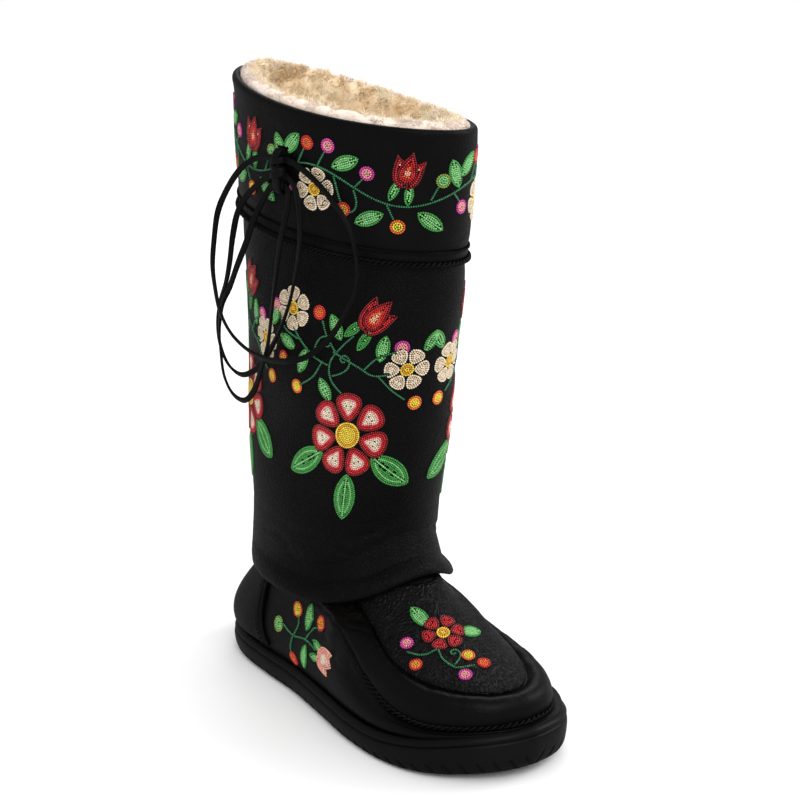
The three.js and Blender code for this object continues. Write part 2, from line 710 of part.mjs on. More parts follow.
// Cuff: a band over the shaft's top with a roped lower seam and a folded lip
function makeCuff() {
  const back = CLEARANCE;
  const face = CLEARANCE + CUFF_WALL;
  const inside = -(SHAFT_WALL + CLEARANCE);
  const profile = [
    { up: 0, out: face },
    { up: ROPE_RADIUS * 0.4, out: face + ROPE_RADIUS * 0.8 },
    { up: ROPE_RADIUS * 1.6, out: face + ROPE_RADIUS * 0.8 },
    { up: ROPE_RADIUS * 2, out: face + 0.2 },
    { up: TAPE_WIDTH - 0.8, out: face + 0.4 },
    { up: TAPE_WIDTH, out: face + 1 },
    { up: TAPE_WIDTH + 1, out: face },
    { up: CUFF_DEPTH * 0.5, out: face },
    { up: CUFF_DEPTH - 3, out: face },
    { up: CUFF_DEPTH - 1, out: face - 0.6 },
    { up: CUFF_DEPTH, out: face - 2 },
    { up: CUFF_DEPTH, out: inside + 1.6 },
    { up: CUFF_DEPTH - 1, out: inside },
    { up: CUFF_DEPTH - LIP_DEPTH + CLEARANCE * 2, out: inside },
    { up: CUFF_DEPTH - LIP_DEPTH + CLEARANCE * 2, out: back },
    { up: CUFF_DEPTH * 0.5, out: back },
    { up: 0, out: back },
  ];
  const band = toSolid(ringWall(profile.map((p) => collarRing(CUFF_DEPTH - p.up, p.out))));
  return fromSolid(tieSlots().reduce((cuff, slot) => cuff.subtract(slot), band));
}

// The middle of the tie's strap, on the cuff's face
function tiePoint(along, down, out) {
  const rise = 1 - TIE_DROP / (collarHeight(TIE_TURN) - edgeHeight(TIE_TURN));
  const anchor = shaftPoint(TIE_TURN, rise, CLEARANCE + CUFF_WALL);
  return new THREE.Vector3(anchor.x - out, anchor.y + along, anchor.z - down);
}

function tieSlots() {
  const play = CLEARANCE * 2 + 0.1;
  const leg = (STRAP_SPAN + STRAP_THICKNESS) / 2;
  return [-leg, leg].map((down) => {
    const slot = new THREE.BoxGeometry(CUFF_WALL * 3, STRAP_WIDTH + play, STRAP_THICKNESS + play);
    const middle = tiePoint(0, down, -CUFF_WALL / 2);
    return toSolid(slot.translate(middle.x, middle.y, middle.z));
  });
}

addPiece('cuff', makeCuff(), 0x171717, 0.5);

// Lining: sheepskin inside the shaft, with locks of wool standing round its top
function makeFleece() {
  const skin = -(SHAFT_WALL + CLEARANCE * 2);
  const wool = skin - FLEECE_THICKNESS;
  const rises = [FLEECE_FOOT, 0.21, 0.35, 0.5, 0.7, 0.85];
  const band = ringWall([
    ...rises.map((rise) => shaftRing(rise, skin)),
    collarRing(0, skin),
    collarRing(-1.2, skin - 2.5),
    collarRing(-FLEECE_STAND, skin - 6),
    collarRing(-1, wool),
    shaftRing(0.6, wool),
    shaftRing(FLEECE_FOOT, wool + 4),
  ]);
  let fleece = toSolid(band);
  for (let i = 0; i < LOCK_COUNT; i += 1) fleece = fleece.add(woolLock(i, skin));
  return fromSolid(fleece);
}

function woolLock(i, skin) {
  const turn = (i / LOCK_COUNT) * TURN;
  const spread = (i % 3) - 1;
  const height = collarHeight(turn) - edgeHeight(turn);
  const root = shaftPoint(turn, 1, skin - FLEECE_THICKNESS * 0.68);
  const tip = shaftPoint(turn + 0.03 * spread, 1 + LOCK_LENGTH / height, skin - FLEECE_THICKNESS * 0.9);
  const lock = new THREE.ConeGeometry(LOCK_RADIUS, LOCK_LENGTH + 3, 5);
  lock.translate(0, LOCK_LENGTH / 2, 0);
  const lean = tip.sub(root).normalize();
  lock.applyQuaternion(new THREE.Quaternion().setFromUnitVectors(new THREE.Vector3(0, 1, 0), lean));
  lock.translate(root.x, root.y, root.z);
  return toSolid(lock);
}

addPiece('fleece_lining', makeFleece(), 0xd8bfa4, 1);

// Strap of the tie: goes into the cuff through two slots and holds the loops down
function makeTieBar() {
  const leg = STRAP_SPAN / 2;
  const far = leg + STRAP_THICKNESS;
  const roof = CORD_DIAMETER + 1;
  const top = roof + STRAP_THICKNESS;
  const deep = -(CUFF_WALL - CLEARANCE);
  const corner = 1.4;
  const side = [
    [far, deep], [far, top - corner * 1.6], [far - corner * 1.6, top],
    [corner * 1.6 - far, top], [-far, top - corner * 1.6], [-far, deep],
    [-leg, deep], [-leg, roof - corner], [corner - leg, roof],
    [leg - corner, roof], [leg, roof - corner], [leg, deep],
  ];
  const shape = new THREE.Shape(side.map(([down, out]) => new THREE.Vector2(down, out)));
  const strap = new THREE.ExtrudeGeometry(shape, { depth: STRAP_WIDTH, bevelEnabled: false });
  const position = strap.attributes.position;
  for (let i = 0; i < position.count; i += 1) {
    const along = position.getZ(i) - STRAP_WIDTH / 2;
    const p = tiePoint(along, position.getX(i), position.getY(i));
    position.setXYZ(i, p.x, p.y, p.z);
  }
  return facingOut(mergeVertices(strap.deleteAttribute('normal').deleteAttribute('uv'), 1e-4));
}

addPiece('tie_bar', makeTieBar(), 0x202020, 0.5);

// The boot stands over the middle of its own outline; the loops hang beside it
const outline = new THREE.Box3().setFromObject(boot);
const middle = outline.getCenter(new THREE.Vector3());

function makeLoop(table) {
  const points = table.map((row) => tiePoint(row.along, row.down, row.out));
  const curve = new THREE.CatmullRomCurve3(points, false, 'centripetal');
  const section = new THREE.Shape(turns(8).map((turn) => (
    new THREE.Vector2(Math.cos(turn), Math.sin(turn)).multiplyScalar(CORD_DIAMETER / 2)
  )));
  const steps = Math.ceil(curve.getLength() / (CORD_DIAMETER * 3));
  return new THREE.ExtrudeGeometry(section, { steps, extrudePath: curve, bevelEnabled: false });
}

addPiece('tie_loop_wide', makeLoop(WIDE_LOOP), 0x202020, 0.5);
addPiece('tie_loop_narrow', makeLoop(NARROW_LOOP), 0x202020, 0.5);
addPiece('tie_loop_long', makeLoop(LONG_LOOP), 0x202020, 0.5);

boot.children.forEach((mesh) => mesh.geometry.translate(-middle.x, -middle.y, 0));

export default boot;
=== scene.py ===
"""Tall beaded mukluk boot for the wearer's right foot, dressed over its CAD solids.

Lengths are millimetres in the maker's frame (toe towards -Y, outer side towards -X) until
`build_mesh` turns them into metres in the frame that the CAD shares.
"""

import logging
import math
from dataclasses import dataclass, replace
from enum import Enum
from typing import Callable, Optional, Sequence

import bpy
import numpy as np
from mathutils import Matrix


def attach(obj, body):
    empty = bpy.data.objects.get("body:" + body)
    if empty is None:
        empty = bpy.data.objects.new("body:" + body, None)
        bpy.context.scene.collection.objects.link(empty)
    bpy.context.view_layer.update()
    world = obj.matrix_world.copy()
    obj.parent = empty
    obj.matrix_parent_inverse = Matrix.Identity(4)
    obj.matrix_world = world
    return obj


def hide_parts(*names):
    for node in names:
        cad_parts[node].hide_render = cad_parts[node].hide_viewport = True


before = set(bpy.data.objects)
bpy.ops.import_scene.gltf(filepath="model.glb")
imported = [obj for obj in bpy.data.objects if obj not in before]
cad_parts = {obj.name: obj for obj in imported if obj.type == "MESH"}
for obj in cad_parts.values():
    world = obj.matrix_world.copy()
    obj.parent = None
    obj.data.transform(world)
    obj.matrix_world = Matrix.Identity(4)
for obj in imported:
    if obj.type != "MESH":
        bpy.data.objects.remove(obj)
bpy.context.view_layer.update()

log = logging.getLogger("mukluk")
Array = np.ndarray
METRE = 0.001
TURN = 2.0 * math.pi
MIDDLE = np.array([-4.2293, 0.0, 0.0])  # the outline's middle, which the CAD stands over


# Small sums that every piece shares


def step(low: float, high: float, value: Array) -> Array:
    """Rise smoothly from 0 at low to 1 at high.

    Args:
        low: where the rise starts.
        high: where it ends.
        value: the places to read it at.

    Returns:
        The share risen at each place.
    """
    share = np.clip((np.asarray(value, float) - low) / (high - low), 0.0, 1.0)
    return share * share * (3.0 - 2.0 * share)


def bell(middle: float, width: float, value: Array) -> Array:
    """Give a soft hump of height 1 at middle that dies out over width."""
    return np.exp(-(((np.asarray(value, float) - middle) / width) ** 2))


def smooth(rows: Array, place: Array) -> Array:
    """Read a smooth value through evenly spaced rows.

    Args:
        rows: one value a row, or one array of values a row.
        place: the place of each value, counted in rows.

    Returns:
        The value at each place.
    """
    rows = np.asarray(rows, float)
    place = np.asarray(place, float)
    last = len(rows) - 1
    low = np.clip(np.floor(place).astype(int), 0, last - 1)
    t = np.clip(place - low, 0.0, 1.0)
    picks = [np.clip(low + shift, 0, last) for shift in (-1, 0, 1, 2)]
    spots = () if rows.ndim == 1 else (np.arange(rows.shape[1]),)
    before, start, end, after = (rows[(pick, *spots)] for pick in picks)
    slope = (end - before) / 2.0
    bend = 2.0 * start - 2.0 * end + slope + (after - start) / 2.0
    return start + slope * t + (end - start - slope - bend) * t * t + bend * t ** 3


def turns_of(count: int) -> Array:
    """Give evenly spaced turns round a closed ring."""
    return np.arange(count) / count * TURN


def unit(vectors: Array) -> Array:
    """Scale each vector to length 1."""
    return vectors / np.maximum(np.linalg.norm(vectors, axis=-1, keepdims=True), 1e-9)


def curve(points: Array, spacing: float) -> Array:
    """Draw a smooth curve through points and set evenly spaced points on it.

    Args:
        points: the points that it passes through.
        spacing: the distance between the points that come back.

    Returns:
        The points along the curve, its two ends among them.
    """
    points = np.asarray(points, float)
    place = np.linspace(0, len(points) - 1, (len(points) - 1) * 24 + 1)
    dense = np.stack([smooth(points[:, axis], place) for axis in range(points.shape[1])], 1)
    return evenly(dense, spacing)


def evenly(line: Array, spacing: float) -> Array:
    """Set points at even distances along a line.

    Args:
        line: the line's own points.
        spacing: the distance wanted between points.

    Returns:
        The new points, the line's two ends among them.
    """
    run = np.concatenate([[0.0], np.cumsum(np.linalg.norm(np.diff(line, axis=0), axis=1))])
    count = max(int(round(run[-1] / spacing)), 2)
    marks = np.linspace(0.0, run[-1], count + 1)
    return np.stack([np.interp(marks, run, line[:, axis]) for axis in range(line.shape[1])], 1)


@dataclass(eq=False)
class Rumple:
    """Seeded waves in space, for the soft unevenness of leather and wool."""

    seed: int
    wave: tuple[float, float, float]  # usual wavelength along X, Y and Z
    count: int = 16  # how many waves are summed

    def __post_init__(self) -> None:
        """Draw the waves."""
        rng = np.random.default_rng(self.seed)
        self.beats = rng.normal(size=(self.count, 3)) / np.array(self.wave) * 3.6
        self.phases = rng.uniform(0, TURN, self.count)

    def at(self, points: Array) -> Array:
        """Give the waves' height, mostly within -1 and 1, at each point."""
        return np.sin(points @ self.beats.T + self.phases).sum(1) / math.sqrt(self.count)

    def crease(self, points: Array, width: float) -> Array:
        """Give 1 in narrow winding lines and 0 away from them, at each point."""
        return np.exp(-((self.at(points) / width) ** 2))


# The last: the plan of the sole, the rings of the foot and the sections of the shaft


@dataclass(frozen=True)
class Ring:
    """One closed ring round the foot, from heel to toe and back."""

    front: float  # foremost Y
    back: float  # hindmost Y
    lateral: float  # half width on the outer side
    medial: float  # half width on the inner side
    oval: float = 0.0  # how far it turns from the sole's plan into an ellipse
    pinch: float = 0.0  # how far it draws in beside the instep
    taper: float = 0.0  # how far it draws in from there to the toe
    spring: float = 1.0  # share of the toe's lift
    level: float = 0.0  # height, where it has no stations
    drop: float = 0.0  # share of the rim's drop behind the ball
    stations: tuple[float, ...] = ()  # heights from heel to toe, rim 0 and instep 1


@dataclass
class Last:
    """The boot's form without its trim, in the sizes that the CAD has."""

    length: float = 290.0
    ball: float = 116.0
    toe_spring: float = 7.0
    rim: float = 24.0
    heel_drop: float = 6.6
    cup_wall: float = 6.2
    cup_floor: float = 13.0
    instep: float = 92.0
    front_edge: float = 91.0
    heel_edge: float = 70.0
    edge_sweep: float = 7.5
    roll: float = 4.0
    swell: float = 2.3
    collar: float = 371.5
    collar_slope: float = 0.065
    collar_tilt: float = 0.09
    collar_bow: float = 2.1
    shaft_width: float = 99.0
    shaft_depth: float = 195.0
    gap: float = 0.3
    laterals: tuple[float, ...] = (
        0, 0.148, 0.283, 0.36, 0.393, 0.416, 0.47, 0.527, 0.537, 0.478, 0.335, 0.168, 0)
    medials: tuple[float, ...] = (
        0, 0.148, 0.283, 0.355, 0.373, 0.363, 0.37, 0.433, 0.468, 0.438, 0.334, 0.188, 0)
    # front, back, lateral, medial, oval, pinch, taper, heel, waist, middle, ball, toe, spring
    foot_rows: tuple[tuple[float, ...], ...] = (
        (-0.972, 0.962, 0.512, 0.442, 0, 0, 0, 0.15, 0.19, 0.22, 0.05, 0.01, 1),
        (-0.955, 0.866, 0.488, 0.422, 0, 0, 0, 0.43, 0.45, 0.44, 0.09, 0.02, 1),
        (-0.928, 0.762, 0.464, 0.395, 0.1, 0, 0, 0.64, 0.64, 0.6, 0.13, 0.03, 1),
        (-0.915, 0.76, 0.447, 0.37, 0.15, 0.08, 0, 0.68, 0.68, 0.64, 0.26, 0.15, 0.9),
        (-0.89, 0.76, 0.42, 0.342, 0.2, 0.2, 0, 0.72, 0.72, 0.67, 0.37, 0.24, 0.75),
        (-0.836, 0.76, 0.385, 0.311, 0.3, 0.3, 0, 0.76, 0.76, 0.71, 0.43, 0.27, 0.6),
        (-0.76, 0.76, 0.345, 0.278, 0.4, 0.3, 0, 0.8, 0.8, 0.75, 0.51, 0.36, 0.4),
        (-0.58, 0.762, 0.315, 0.298, 0.6, 0.1, 0.14, 0.86, 0.86, 0.82, 0.7, 0.54, 0),
        (-0.36, 0.776, 0.33, 0.306, 0.8, 0, 0.2, 0.93, 0.94, 0.91, 0.83, 0.8, 0),
        (-0.15, 0.779, 0.36, 0.34, 1, 0, 0.2, 1.02, 1.03, 1.03, 1.02, 1.1, 0),
    )
    # rise, width, depth, centre
    shaft_rows: tuple[tuple[float, ...], ...] = (
        (0, 1.061, 0.781, 0.131), (0.012, 1.095, 0.797, 0.132), (0.031, 1.08, 0.779, 0.139),
        (0.056, 1.027, 0.731, 0.155), (0.09, 1.02, 0.722, 0.156), (0.21, 1.03, 0.744, 0.147),
        (0.35, 1.03, 0.79, 0.134), (0.5, 1.03, 0.836, 0.125), (0.7, 1, 0.903, 0.119),
        (0.85, 0.996, 0.959, 0.114), (1, 1, 1, 0.11),
    )
    seam_row: float = 4.0
    groove_row: float = 7.0

    def __post_init__(self) -> None:
        """Set up the foot's rings from the sole's seat to the opening in the shaft."""
        seat = self.sole_ring(self.cup_wall + self.gap)
        self.rings = [
            replace(seat, level=self.cup_floor + self.gap),
            replace(seat, level=self.rim, drop=1.0),
        ]
        for row in self.foot_rows:
            self.rings.append(Ring(
                front=row[0] * self.length / 2, back=row[1] * self.length / 2,
                lateral=row[2] * self.ball, medial=row[3] * self.ball,
                oval=row[4], pinch=row[5], taper=row[6],
                stations=tuple(row[7:12]), spring=row[12]))
        self.top_row = len(self.rings) - 1

    def sole_ring(self, inset: float) -> Ring:
        """Give the sole's plan, drawn in by an inset."""
        half = self.length / 2 - inset
        return Ring(-half, half, max(self.laterals) * self.ball - inset,
                    max(self.medials) * self.ball - inset)

    def spring_at(self, y: Array) -> Array:
        """Give the lift of sole and vamp towards the toe.

        Args:
            y: the places along the sole.

        Returns:
            The lift at each.
        """
        start = -0.22 * self.length
        share = np.maximum((start - y) / (self.length / 2 + start), 0.0)
        return self.toe_spring * share * share

    def drop_at(self, y: Array) -> Array:
        """Give how far groove and rim lie below their height at the toe."""
        return self.heel_drop * step(-0.48 * self.length, -0.17 * self.length, y)

    def plan(self, ring: Ring, turn: Array) -> Array:
        """Give a ring's points seen from above.

        Args:
            ring: the ring.
            turn: turns from the heel over the outer side to the toe and back.

        Returns:
            X and Y of each point.
        """
        turn = np.mod(turn, TURN)
        outer = turn <= math.pi
        angle = np.where(outer, turn, TURN - turn)
        place = angle / math.pi * (len(self.laterals) - 1)
        shares = np.where(
            outer,
            smooth(np.array(self.laterals) / max(self.laterals), place),
            smooth(np.array(self.medials) / max(self.medials), place))
        shares = shares + (np.sin(angle) - shares) * ring.oval
        along = (1.0 - np.cos(turn)) / 2.0
        beside = step(0.4, 0.56, along) * (1.0 - step(0.5, 0.8, along))
        drawn = (1.0 - ring.pinch * beside) * (1.0 - ring.taper * step(0.42, 0.62, along))
        side = np.where(outer, -ring.lateral, ring.medial)
        middle = (ring.front + ring.back) / 2.0
        reach = (ring.back - ring.front) / 2.0
        return np.stack([side * shares * drawn, middle + reach * np.cos(turn)], -1)

    def offset(self, ring: Ring, turn: Array, out: Array) -> Array:
        """Move a ring's points out of the ring, square to it.

        Args:
            ring: the ring.
            turn: the turns of its points.
            out: how far each goes.

        Returns:
            X and Y of each point.
        """
        along = unit(self.plan(ring, turn + 0.01) - self.plan(ring, turn - 0.01))
        outward = np.stack([along[..., 1], -along[..., 0]], -1)
        return self.plan(ring, turn) + outward * np.asarray(out)[..., None]

    def foot_base(self, turn: Array, row: Array) -> Array:
        """Give the foot's bare skin.

        Args:
            turn: the turn of each point.
            row: its row, counted in rings up the foot.

        Returns:
            The points.
        """
        columns = []
        for ring in self.rings:
            flat = self.plan(ring, turn)
            height = ring.level - ring.drop * self.drop_at(flat[:, 1])
            if ring.stations:
                along = (1.0 - np.cos(turn)) / 2.0
                share = smooth(np.array(ring.stations), along * (len(ring.stations) - 1))
                height = self.rim + (self.instep - self.rim) * share
            height = height + ring.spring * self.spring_at(flat[:, 1])
            columns.append(np.column_stack([flat, height]))
        stack = np.stack(columns)
        return np.stack([smooth(stack[:, :, axis], row) for axis in range(3)], -1)

    def foot(self, turn: Array, row: Array, lift: Array = 0.0) -> tuple[Array, Array]:
        """Give points over the foot's skin.

        Args:
            turn: the turn of each point.
            row: its row up the foot.
            lift: how far it stands off the skin.

        Returns:
            The points and the directions square to the skin.
        """
        turn, row = np.broadcast_arrays(np.asarray(turn, float), np.asarray(row, float))
        nudge = 0.03
        low = np.maximum(row - nudge, 0.0)
        high = np.minimum(row + nudge, self.top_row)
        up = self.foot_base(turn, high) - self.foot_base(turn, low)
        around = self.foot_base(turn + nudge, row) - self.foot_base(turn - nudge, row)
        normal = unit(np.cross(around, up))
        lift = np.broadcast_to(np.asarray(lift, float), turn.shape)
        return self.foot_base(turn, row) + normal * lift[:, None], normal

    def belly(self, row: Array) -> Array:
        """Give how far the leather swells over the sole's rim at a row."""
        return self.swell * bell(1.5, 0.45, row)

    def roll_lift(self, turn: Array, row: Array) -> Array:
        """Give how proud the gathered roll round the toe stands.

        Args:
            turn: the turn of each point.
            row: its row up the foot.

        Returns:
            The height of the roll at each.
        """
        fade = step(0.5, 0.62, (1.0 - np.cos(turn)) / 2.0)
        share = np.clip((row - self.seam_row) / (self.groove_row - self.seam_row), 0.0, 1.0)
        return self.roll * fade * np.sin(math.pi * share) ** 0.6

    def edge_height(self, turn: Array) -> Array:
        """Give the height of the shaft's lower edge."""
        ahead = ((1.0 - np.cos(turn)) / 2.0) ** self.edge_sweep
        return self.heel_edge + (self.front_edge - self.heel_edge) * ahead

    def collar_height(self, turn: Array) -> Array:
        """Give the height of the collar.

        Args:
            turn: the turn of each point.

        Returns:
            Its height above the floor.
        """
        slope = self.collar_slope * self.shaft_depth / 2 * np.cos(turn)
        tilt = self.collar_tilt * self.shaft_width / 2 * np.sin(turn)
        return self.collar + slope + tilt + self.collar_bow * np.cos(2 * turn)

    def shaft(self, turn: Array, rise: Array, out: Array = 0.0) -> tuple[Array, Array]:
        """Give points round the shaft.

        Args:
            turn: the turn of each point.
            rise: its share of the way from the lower edge to the collar.
            out: how far it stands off the shaft's face.

        Returns:
            The points and the level directions square to the shaft.
        """
        turn, rise = np.broadcast_arrays(np.asarray(turn, float), np.asarray(rise, float))
        rows = np.array(self.shaft_rows)
        place = np.interp(rise, rows[:, 0], np.arange(len(rows)))
        half_width = smooth(rows[:, 1], place) * self.shaft_width / 2
        half_depth = smooth(rows[:, 2], place) * self.shaft_depth / 2
        centre = smooth(rows[:, 3], place) * self.length
        normal = unit(np.stack([-np.sin(turn) / half_width, np.cos(turn) / half_depth], -1))
        out = np.broadcast_to(np.asarray(out, float), turn.shape)
        low = self.edge_height(turn)
        height = low + (self.collar_height(turn) - low) * rise
        points = np.stack([
            -half_width * np.sin(turn) + normal[:, 0] * out,
            centre + half_depth * np.cos(turn) + normal[:, 1] * out,
            height], -1)
        return points, np.column_stack([normal, np.zeros(len(turn))])

    def rise_at(self, turn: Array, drop: Array) -> Array:
        """Give the rise of a place that lies a drop below the collar."""
        return 1.0 - drop / (self.collar_height(turn) - self.edge_height(turn))

    def rise_of(self, turn: Array, height: Array) -> Array:
        """Give the rise of a place at a height above the floor."""
        low = self.edge_height(turn)
        return (height - low) / (self.collar_height(turn) - low)

    def turn_at(self, run: Array) -> Array:
        """Give the turn at a distance round the shaft's middle, and keep the girth there.

        Args:
            run: the distances from the back.

        Returns:
            The turn at each.
        """
        turns = np.linspace(0, TURN, 721)
        points, _ = self.shaft(turns, 0.6)
        arc = np.concatenate([[0], np.cumsum(np.linalg.norm(np.diff(points[:, :2], axis=0), axis=1))])
        self.girth = float(arc[-1])
        return np.interp(np.mod(run, self.girth), arc, turns)


# Meshes


def build_mesh(
    name: str,
    points: Array,
    faces: Sequence[Array],
    material: Sequence[bpy.types.Material],
    index: Optional[Array] = None,
) -> bpy.types.Object:
    """Make a piece of the boot from its points.

    Args:
        name: the piece's name.
        points: its points, in millimetres.
        faces: one array of faces for each count of corners.
        material: its materials.
        index: each face's material, where there are several.

    Returns:
        The piece, riding on the boot.
    """
    mesh = bpy.data.meshes.new(name)
    listed = [face for block in faces for face in block.tolist()]
    mesh.from_pydata(((points - MIDDLE) * METRE).tolist(), [], listed)
    for finish in material:
        mesh.materials.append(finish)
    if index is not None:
        mesh.polygons.foreach_set("material_index", index.astype(np.int32))
    mesh.shade_smooth()
    mesh.update()
    piece = bpy.data.objects.new(name, mesh)
    bpy.context.scene.collection.objects.link(piece)
    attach(piece, "root")
    return piece


def grid_faces(rows: int, columns: int, closed: bool = True, start: int = 0) -> Array:
    """List the quads of a grid of points.

    Args:
        rows: its rows.
        columns: its points in a row.
        closed: joins each row's last point to its first.
        start: the number of its first point.

    Returns:
        The quads.
    """
    row = np.arange(rows - 1)[:, None]
    column = np.arange(columns if closed else columns - 1)[None, :]
    after = (column + 1) % columns
    corners = [row * columns + column, row * columns + after,
               (row + 1) * columns + after, (row + 1) * columns + column]
    return np.stack(corners, -1).reshape(-1, 4) + start


def ring_loop(rows: int, columns: int) -> Array:
    """List the quads of rings that close on themselves, as a tube bent round does.

    Args:
        rows: the count of rings.
        columns: the points in a ring.

    Returns:
        The quads.
    """
    faces = grid_faces(rows, columns)
    last = grid_faces(2, columns) + (rows - 1) * columns
    last[:, 2:] -= rows * columns
    return np.concatenate([faces, last])


def slab_faces(rows: int, columns: int) -> list[Array]:
    """List the faces of a thin slab whose top and underside are two like grids.

    Args:
        rows: the rows of each grid.
        columns: the points in a row.

    Returns:
        The faces of the top, the underside and the skirt between them.
    """
    rim = np.concatenate([
        np.arange(columns), np.arange(1, rows) * columns + columns - 1,
        (rows - 1) * columns + np.arange(columns - 2, -1, -1), np.arange(rows - 2, 0, -1) * columns])
    below = rim + rows * columns
    skirt = np.stack([rim, np.roll(rim, -1), np.roll(below, -1), below], -1)
    top = grid_faces(rows, columns, closed=False)
    under = grid_faces(rows, columns, closed=False, start=rows * columns)
    return [top, under[:, ::-1], skirt[:, ::-1]]


def scatter(shape: Array, faces: Array, spots: Array, axes: Array, sizes: Array) -> tuple[Array, Array]:
    """Set copies of one small shape at many places.

    Args:
        shape: the shape's points.
        faces: its faces.
        spots: where each copy goes.
        axes: each copy's three directions, as rows.
        sizes: each copy's three sizes.

    Returns:
        All points and all faces.
    """
    scaled = shape[None] * sizes[:, None, :]
    points = np.einsum("nij,njk->nik", scaled, axes) + spots[:, None, :]
    shift = (np.arange(len(spots)) * len(shape))[:, None, None]
    return points.reshape(-1, 3), (faces[None] + shift).reshape(-1, faces.shape[1])


def sweep(path: Array, side: Array, across: Array, section: Array) -> tuple[Array, Array, Array]:
    """Draw a section along a path.

    Args:
        path: the path's points.
        side: the direction of the section's width at each point.
        across: the direction of its thickness at each point.
        section: the section's points, in width and thickness, for all or for each point.

    Returns:
        The points, the quads of the side and the two end caps.
    """
    section = np.broadcast_to(section, (len(path),) + section.shape[-2:])
    points = (path[:, None] + side[:, None] * section[..., :1] + across[:, None] * section[..., 1:])
    sides = section.shape[1]
    caps = np.stack([np.arange(sides)[::-1], np.arange(sides) + (len(path) - 1) * sides])
    return points.reshape(-1, 3), grid_faces(len(path), sides), caps


def oval_section(width: float, thickness: float, sides: int, square: float = 0.5) -> Array:
    """Draw a rounded section.

    Args:
        width: its width.
        thickness: its thickness.
        sides: its count of corners.
        square: 1 for an ellipse, lower for a section nearer a rectangle.

    Returns:
        Its points.
    """
    angle = turns_of(sides)
    wide = np.sign(np.cos(angle)) * np.abs(np.cos(angle)) ** square
    high = np.sign(np.sin(angle)) * np.abs(np.sin(angle)) ** square
    return np.stack([wide * width / 2, high * thickness / 2], -1)


def path_frame(path: Array, hint: Array) -> tuple[Array, Array, Array]:
    """Give directions along a path.

    Args:
        path: the path's points.
        hint: the direction that the across direction leans to, for all or for each point.

    Returns:
        Along, side and across at each point.
    """
    along = unit(np.gradient(path, axis=0))
    side = unit(np.cross(along, np.broadcast_to(hint, path.shape)))
    return along, side, np.cross(side, along)


def rope(path: Array, hint: Array, radius: float, pitch: float, closed: bool) -> tuple[Array, list[Array]]:
    """Twist two strands round a path.

    Args:
        path: the path's points.
        hint: the direction away from what it lies on, at each point.
        radius: the rope's radius.
        pitch: the length of one full twist.
        closed: the path ends where it starts.

    Returns:
        The points, and the faces of the strands and their ends.
    """
    both = evenly(np.column_stack([path, hint]), pitch / 11)
    path, hint = both[:, :3], unit(both[:, 3:])
    _, side, across = path_frame(path, hint)
    run = np.linspace(0, 1, len(path))
    twists = round(len(path) / 11)
    points: list[Array] = []
    quads: list[Array] = []
    ends: list[Array] = []
    total = 0
    for strand in range(2):
        angle = run * twists * TURN + strand * math.pi
        line = path + (side * np.cos(angle)[:, None] + across * np.sin(angle)[:, None]) * radius * 0.52
        made, faces, caps = sweep(line, side, across, oval_section(radius * 1.24, radius * 1.24, 6, 1.0))
        points.append(made)
        quads.append(faces + total)
        if not closed:
            ends.append(caps + total)
        total += len(made)
    return np.concatenate(points), quads + ends


def stitch_row(path: Array, normal: Array, length: float, gap: float, width: float) -> tuple[Array, Array]:
    """Lay a row of stitches along a path.

    Args:
        path: the path's points.
        normal: the direction away from the leather at each point.
        length: a stitch's length.
        gap: the space between two stitches.
        width: the thread's width.

    Returns:
        The points and faces of the stitches.
    """
    both = evenly(np.column_stack([path, normal]), length + gap)
    spots, lift = both[:, :3], unit(both[:, 3:])
    along = unit(np.gradient(spots, axis=0))
    side = unit(np.cross(lift, along))
    axes = np.stack([along, side, np.cross(along, side)], 1)
    angle = turns_of(6)
    shape = np.concatenate([
        np.stack([np.full(6, x), np.cos(angle) * swell / 2, np.sin(angle) * swell / 2], -1)
        for x, swell in ((-0.5, 0.3), (-0.36, 1.0), (0.36, 1.0), (0.5, 0.3))])
    sizes = np.tile([length, width, width * 0.8], (len(spots), 1))
    return scatter(shape, grid_faces(4, 6), spots + lift * width * 0.18, axes, sizes)


# Finishes


class Tree:
    """Adds nodes to one shader tree in a line each."""

    def __init__(self, tree: bpy.types.NodeTree) -> None:
        """Keep the tree."""
        self.tree = tree

    def add(self, kind: str, setting: Optional[dict] = None, **inputs: object) -> bpy.types.Node:
        """Add a node.

        Args:
            kind: the node's type, without its common start.
            setting: its own settings.
            inputs: its sockets, by name with spaces as underscores, each a value or an output.

        Returns:
            The node.
        """
        node = self.tree.nodes.new("ShaderNode" + kind)
        for key, value in (setting or {}).items():
            setattr(node, key, value)
        for key, value in inputs.items():
            name = key.replace("_", " ").strip()
            socket = node.inputs[int(name)] if name.isdigit() else node.inputs[name]
            if isinstance(value, bpy.types.NodeSocket):
                self.tree.links.new(value, socket)
            else:
                socket.default_value = value
        return node

    def sums(self, how: str, first: object, second: object) -> bpy.types.NodeSocket:
        """Combine two numbers.

        Args:
            how: the sum to do.
            first: the first number or output.
            second: the second number or output.

        Returns:
            The output.
        """
        return self.add("Math", {"operation": how}, _0=first, _1=second).outputs[0]


def new_group(name: str, inputs: Sequence[tuple[str, str, object]], outputs: Sequence[tuple[str, str]]
              ) -> tuple["Tree", bpy.types.Node, bpy.types.Node]:
    """Start a shader group.

    Args:
        name: the group's name.
        inputs: name, type and value of each input.
        outputs: name and type of each output.

    Returns:
        The group's tree and its two end nodes.
    """
    group = bpy.data.node_groups.new(name, "ShaderNodeTree")
    for label, kind, value in inputs:
        socket = group.interface.new_socket(label, in_out="INPUT", socket_type="NodeSocket" + kind)
        socket.default_value = value
    for label, kind in outputs:
        group.interface.new_socket(label, in_out="OUTPUT", socket_type="NodeSocket" + kind)
    start = group.nodes.new("NodeGroupInput")
    end = group.nodes.new("NodeGroupOutput")
    return Tree(group), start, end


